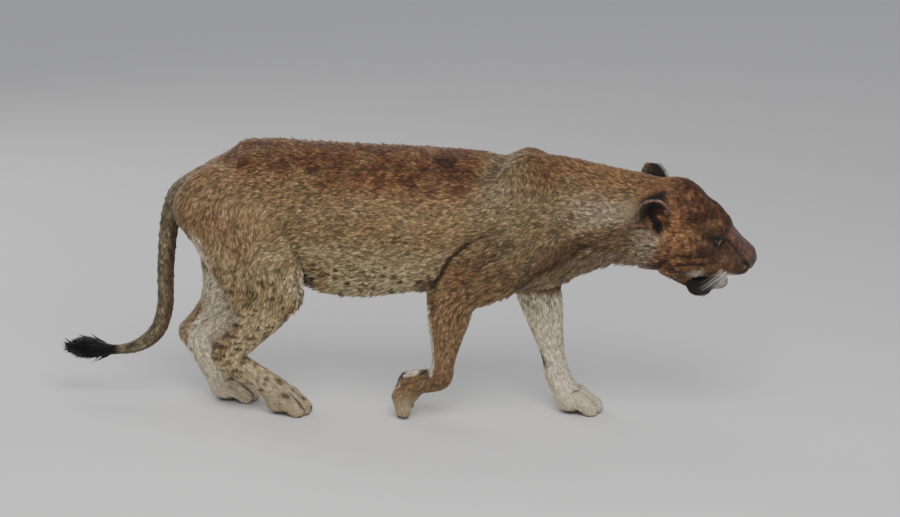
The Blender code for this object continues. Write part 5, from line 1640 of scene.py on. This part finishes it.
def sow(points, faces, normals, flow, sunk, share, seed):
    """Roots of tufts spread evenly over the skin: place, normal, lie, and depth in a fold."""
    rng = np.random.default_rng(seed)
    a, b, c = (points[faces[:, i]] for i in range(3))
    area = 0.5 * np.linalg.norm(np.cross(b - a, c - a), axis=1)
    middle = (a + b + c) / 3.0
    facing = normals[faces].mean(1)
    crowd = hair_size(middle, facing)[2] * 1e4 * area * share
    order = np.lexsort((np.round(middle[:, 2], 2), np.round(middle[:, 0], 2)))
    heap = np.cumsum(crowd[order])
    count = int(heap[-1])
    pick = order[np.searchsorted(heap, (np.arange(count) + rng.random(count)) * heap[-1] / count)]
    u, v = rng.random(count), rng.random(count)
    over = u + v > 1.0
    u, v = np.where(over, 1.0 - u, u), np.where(over, 1.0 - v, v)
    weights = np.stack([1.0 - u - v, u, v], 1)[..., None]
    place = (points[faces[pick]] * weights).sum(1)
    normal = (normals[faces[pick]] * weights).sum(1)
    normal /= np.linalg.norm(normal, axis=1)[:, None]
    way = (flow[faces[pick]] * weights).sum(1)
    across = np.cross(normal, way)
    swerve = rng.normal(0.0, 0.22, count) + 0.35 * (mottle(place, 0.035, 41) - 0.5)
    way = way + swerve[:, None] * across
    way -= normal * (way * normal).sum(1)[:, None]
    way /= np.maximum(np.linalg.norm(way, axis=1), 1e-9)[:, None]
    return place, normal, way, (sunk[faces[pick]] * weights[..., 0]).sum(1)


def tufts(place, normal, way, length, stand, width):
    """Thin closed wedges: two low corners at the root, a ridge a third along, and the tip.

    The tip stands off the skin by stand times the length.
    """
    across = np.cross(normal, way)
    size = length[:, None]
    half = 0.5 * width[:, None]
    sink = 0.06 * size
    left = place - half * across - sink * normal
    right = place + half * across - sink * normal
    ridge = place + 0.36 * size * way + (0.55 * stand[:, None] * size + 0.35 * half) * normal
    tip = place + size * way + stand[:, None] * size * normal
    for row, least in ((left, FLOOR_GAP), (right, FLOOR_GAP), (ridge, 0.0010), (tip, 0.0008)):
        row[:, 2] = np.maximum(row[:, 2], least)
    points = np.stack([left, right, ridge, tip], 1)
    base = 4 * np.arange(len(place))[:, None]
    faces = np.concatenate([base + np.array(f) for f in ((0, 3, 2), (2, 3, 1), (0, 1, 3), (0, 2, 1))], 1)
    lean = np.stack([normal - 0.45 * across, normal + 0.45 * across, normal, normal + 0.15 * way], 1)
    return points.reshape(-1, 3), faces.reshape(-1, 3), lean.reshape(-1, 3)


# Each coat piece covers one stretch of the body, unrolled about its own path for its map.
COAT_PIECES = {
    "face": (head_point((0.17, 0, 0)), head_point((0.02, 0, 0.0))),
    "crown": (head_point((0.00, 0, 0.0)), head_point((-0.12, 0, 0.0))),
    "neck": ((0.50, 0, 0.60), (0.36, 0, 0.61)),
    "shoulders": ((0.28, 0, 0.58), (0.06, 0, 0.58)),
    "ribs": ((-0.01, 0, 0.57), (-0.20, 0, 0.57)),
    "loins": ((-0.27, 0, 0.57), (-0.44, 0, 0.58)),
    "rump": ((-0.53, 0, 0.60), (-0.70, 0, 0.61)),
    "foreleg_right": FORELEG[-1][2:],
    "foreleg_left": FORELEG[1][2:],
    "hindleg_right": HINDLEG[-1][1:],
    "hindleg_left": HINDLEG[1][1:],
    "tail": TAIL[2:10],
    "tail_tip": ((-1.010, 0.016, 0.152), (-1.138, 0.020, 0.153)),
}
SLOTS = {
    "foreleg_left": "coat_pale", "hindleg_left": "coat_pale", "rump": "coat_rusty", "loins": "coat_rusty",
    "tail_tip": "hair_black",
}


def even(values):
    """Spread values evenly from 0 to 1, in their own order."""
    order = np.empty(len(values))
    order[np.argsort(values, kind="stable")] = np.arange(len(values))
    return order / max(1, len(values) - 1)


def unroll(place, path):
    """Unwrap of a stretch of skin about its path: how far along, and the angle round it, both evened out."""
    path = np.array(path, float)
    walked = along(place, path)[1]
    axis = path[-1] - path[0]
    axis /= np.linalg.norm(axis)
    one = np.cross(axis, (0.0, 1.0, 0.0))
    one /= np.linalg.norm(one)
    two = np.cross(axis, one)
    length = np.linalg.norm(np.diff(path, axis=0), axis=1)
    stops = np.concatenate([[0.0], np.cumsum(length)])
    foot = np.stack([np.interp(walked, stops, path[:, i]) for i in range(3)], 1)
    off = place - foot
    beyond = off @ axis
    angle = np.arctan2(off @ two, off @ one)
    return even(walked + beyond), even(angle)


SHARE = 0.84  # of the tufts that hair_size asks for
PATCH = 0.003  # a tuft's patch on the map
seeds = np.random.default_rng(7)
place, normal, way, sunk = sow(skin_points, skin_faces, skin_normals, skin_lie, skin_sunk, SHARE, 3)
length, stand = hair_size(place, normal)[:2]
reach = to_head(place)[:, 0]
# Hair gathers in locks: tips draw together towards the middle of each, which stands up more; its
# middle is painted light and the gaps about it painted shade. One tuft in eight is broader and stands up
# more.
LOCK = 0.0082  # spacing of the locks
toward, outside, chance = clumps(place, way, LOCK, 51)
across = np.cross(normal, way)
way = way + 0.45 * ((toward * across).sum(1) / length)[:, None] * across
way /= np.linalg.norm(way, axis=1)[:, None]
bold = seeds.random(len(place)) < 0.12
length = length * seeds.uniform(0.75, 1.25, len(place))
stand = stand * seeds.uniform(0.6, 1.6, len(place)) * (1.45 - 0.85 * outside) * np.where(bold, 1.6, 1.0)
width = np.minimum(0.30 * length, 0.0042) * seeds.uniform(0.8, 1.2, len(place)) * np.where(bold, 1.4, 1.0)
width = width * 1.0
shade = seeds.uniform(0.60, 1.44, len(place)) * (1.72 - 1.30 * outside) * (0.72 + 0.56 * chance)
rough = 0.30 + 0.70 * np.maximum(soften(0.0080, 0.0145, length), 0.45 * (reach > -0.12) * (place[:, 0] > 0.5))
# Contrast is scaled by rough; tufts in folds are darkened, more so on the feet: painted shade.
shade = (1.0 + rough * (shade - 1.0)) * (1.0 - 0.80 * sunk * (0.55 + 0.45 * soften(0.10, 0.06, place[:, 2])))
colour = paint(place, normal) * shade[:, None]
# A tuft belongs to the piece whose path is nearest; limbs and tail count as nearer than they are.
gaps = []
for name, path in COAT_PIECES.items():
    gaps.append(along(place, path)[0] / (0.6 if "leg" in name or "tail" in name else 1.0))
gaps = np.stack(gaps, 1)
gaps[:, 1] = np.where(reach > -0.125, -1.0, gaps[:, 1])
gaps[:, 0] = np.where(reach > 0.015, -2.0, gaps[:, 0])
owner = np.argmin(gaps, axis=1)
for i, (name, path) in enumerate(COAT_PIECES.items()):
    own = owner == i
    rows = [v[own] for v in (place, normal, way, length, stand, width)]
    points, faces, lean = tufts(*rows)
    piece = put("coat_" + name, points, faces, SHORT_FUR, SLOTS.get(name, "coat_tawny"))
    # Each tuft is darker at its root corners and lighter at its tip: painted shade under the overlapping
    # tufts, painted light on the tips.
    root_shade_tip_light = np.array((0.48, 0.48, 0.95, 1.30))[None, :, None]
    dress(piece, np.clip(colour[own][:, None] * root_shade_tip_light, 0, 1).reshape(-1, 3), np.repeat(way[own], 4, axis=0))
    lean /= np.linalg.norm(lean, axis=1)[:, None]
    piece.data.normals_split_custom_set_from_vertices(lean.astype(np.float32))
    u, v = unroll(place[own], path)
    corners = PATCH * np.array(((0.0, 0.0), (1.0, 0.0), (0.5, 0.4), (0.5, 1.0)))
    patch = np.stack([u, v], 1)[:, None] * (1.0 - 2.0 * PATCH) + corners
    chart = piece.data.uv_layers.new(name="OFBake")
    chart.uv.foreach_set("vector", patch.reshape(-1, 2)[faces.ravel()].astype(np.float32).ravel())


# ================================================================ floor, light and camera
# A wide matt floor under a pale sky, three soft lights, and a long lens a little above her back.
def plain(name, colour, roughness):
    """A material of one even colour."""
    return new_material(name, {"Base Color": (*colour, 1.0), "Roughness": roughness})[0]


floor_mesh = bpy.data.meshes.new("floor")
floor_mesh.from_pydata([(-40, -40, 0), (40, -40, 0), (40, 40, 0), (-40, 40, 0)], [], [(0, 1, 2, 3)])
floor_mesh.materials.append(plain("floor", (0.66, 0.64, 0.62), 0.9))
floor = bpy.data.objects.new("floor", floor_mesh)
bpy.context.scene.collection.objects.link(floor)

world = bpy.data.worlds.new("studio")
bpy.context.scene.world = world
world.use_nodes = True
world.node_tree.nodes["Background"].inputs["Color"].default_value = (0.90, 0.93, 1.0, 1.0)
world.node_tree.nodes["Background"].inputs["Strength"].default_value = 0.55


def soft_light(name, place, aim, size, power):
    """A square lamp at a place, turned to face its aim; size in metres, power in watts."""
    data = bpy.data.lights.new(name, "AREA")
    data.size = size
    data.energy = power
    obj = bpy.data.objects.new(name, data)
    bpy.context.scene.collection.objects.link(obj)
    obj.location = place
    obj.rotation_euler = (Vector(place) - Vector(aim)).to_track_quat("Z", "Y").to_euler()


soft_light("key", (0.8, -2.6, 3.4), (0, 0, 0.4), 2.4, 130.0)
soft_light("fill", (-3.2, 2.4, 3.0), (0, 0, 0.4), 2.6, 70.0)
soft_light("low", (0.2, -4.2, 0.9), (0, 0, 0.3), 2.6, 55.0)

SIGHT, RISE, YAW = 5.75, math.radians(15.0), math.radians(7.0)
camera_data = bpy.data.cameras.new("camera")
camera_data.lens = 80.0
camera_data.sensor_fit = "HORIZONTAL"
camera = bpy.data.objects.new("camera", camera_data)
bpy.context.scene.collection.objects.link(camera)
back = Vector((math.sin(YAW) * math.cos(RISE), -math.cos(YAW) * math.cos(RISE), math.sin(RISE)))
camera.location = Vector((0.0, 0.0, 0.47)) + shift + SIGHT * back
camera.rotation_euler = back.to_track_quat("Z", "Y").to_euler()
bpy.context.scene.camera = camera
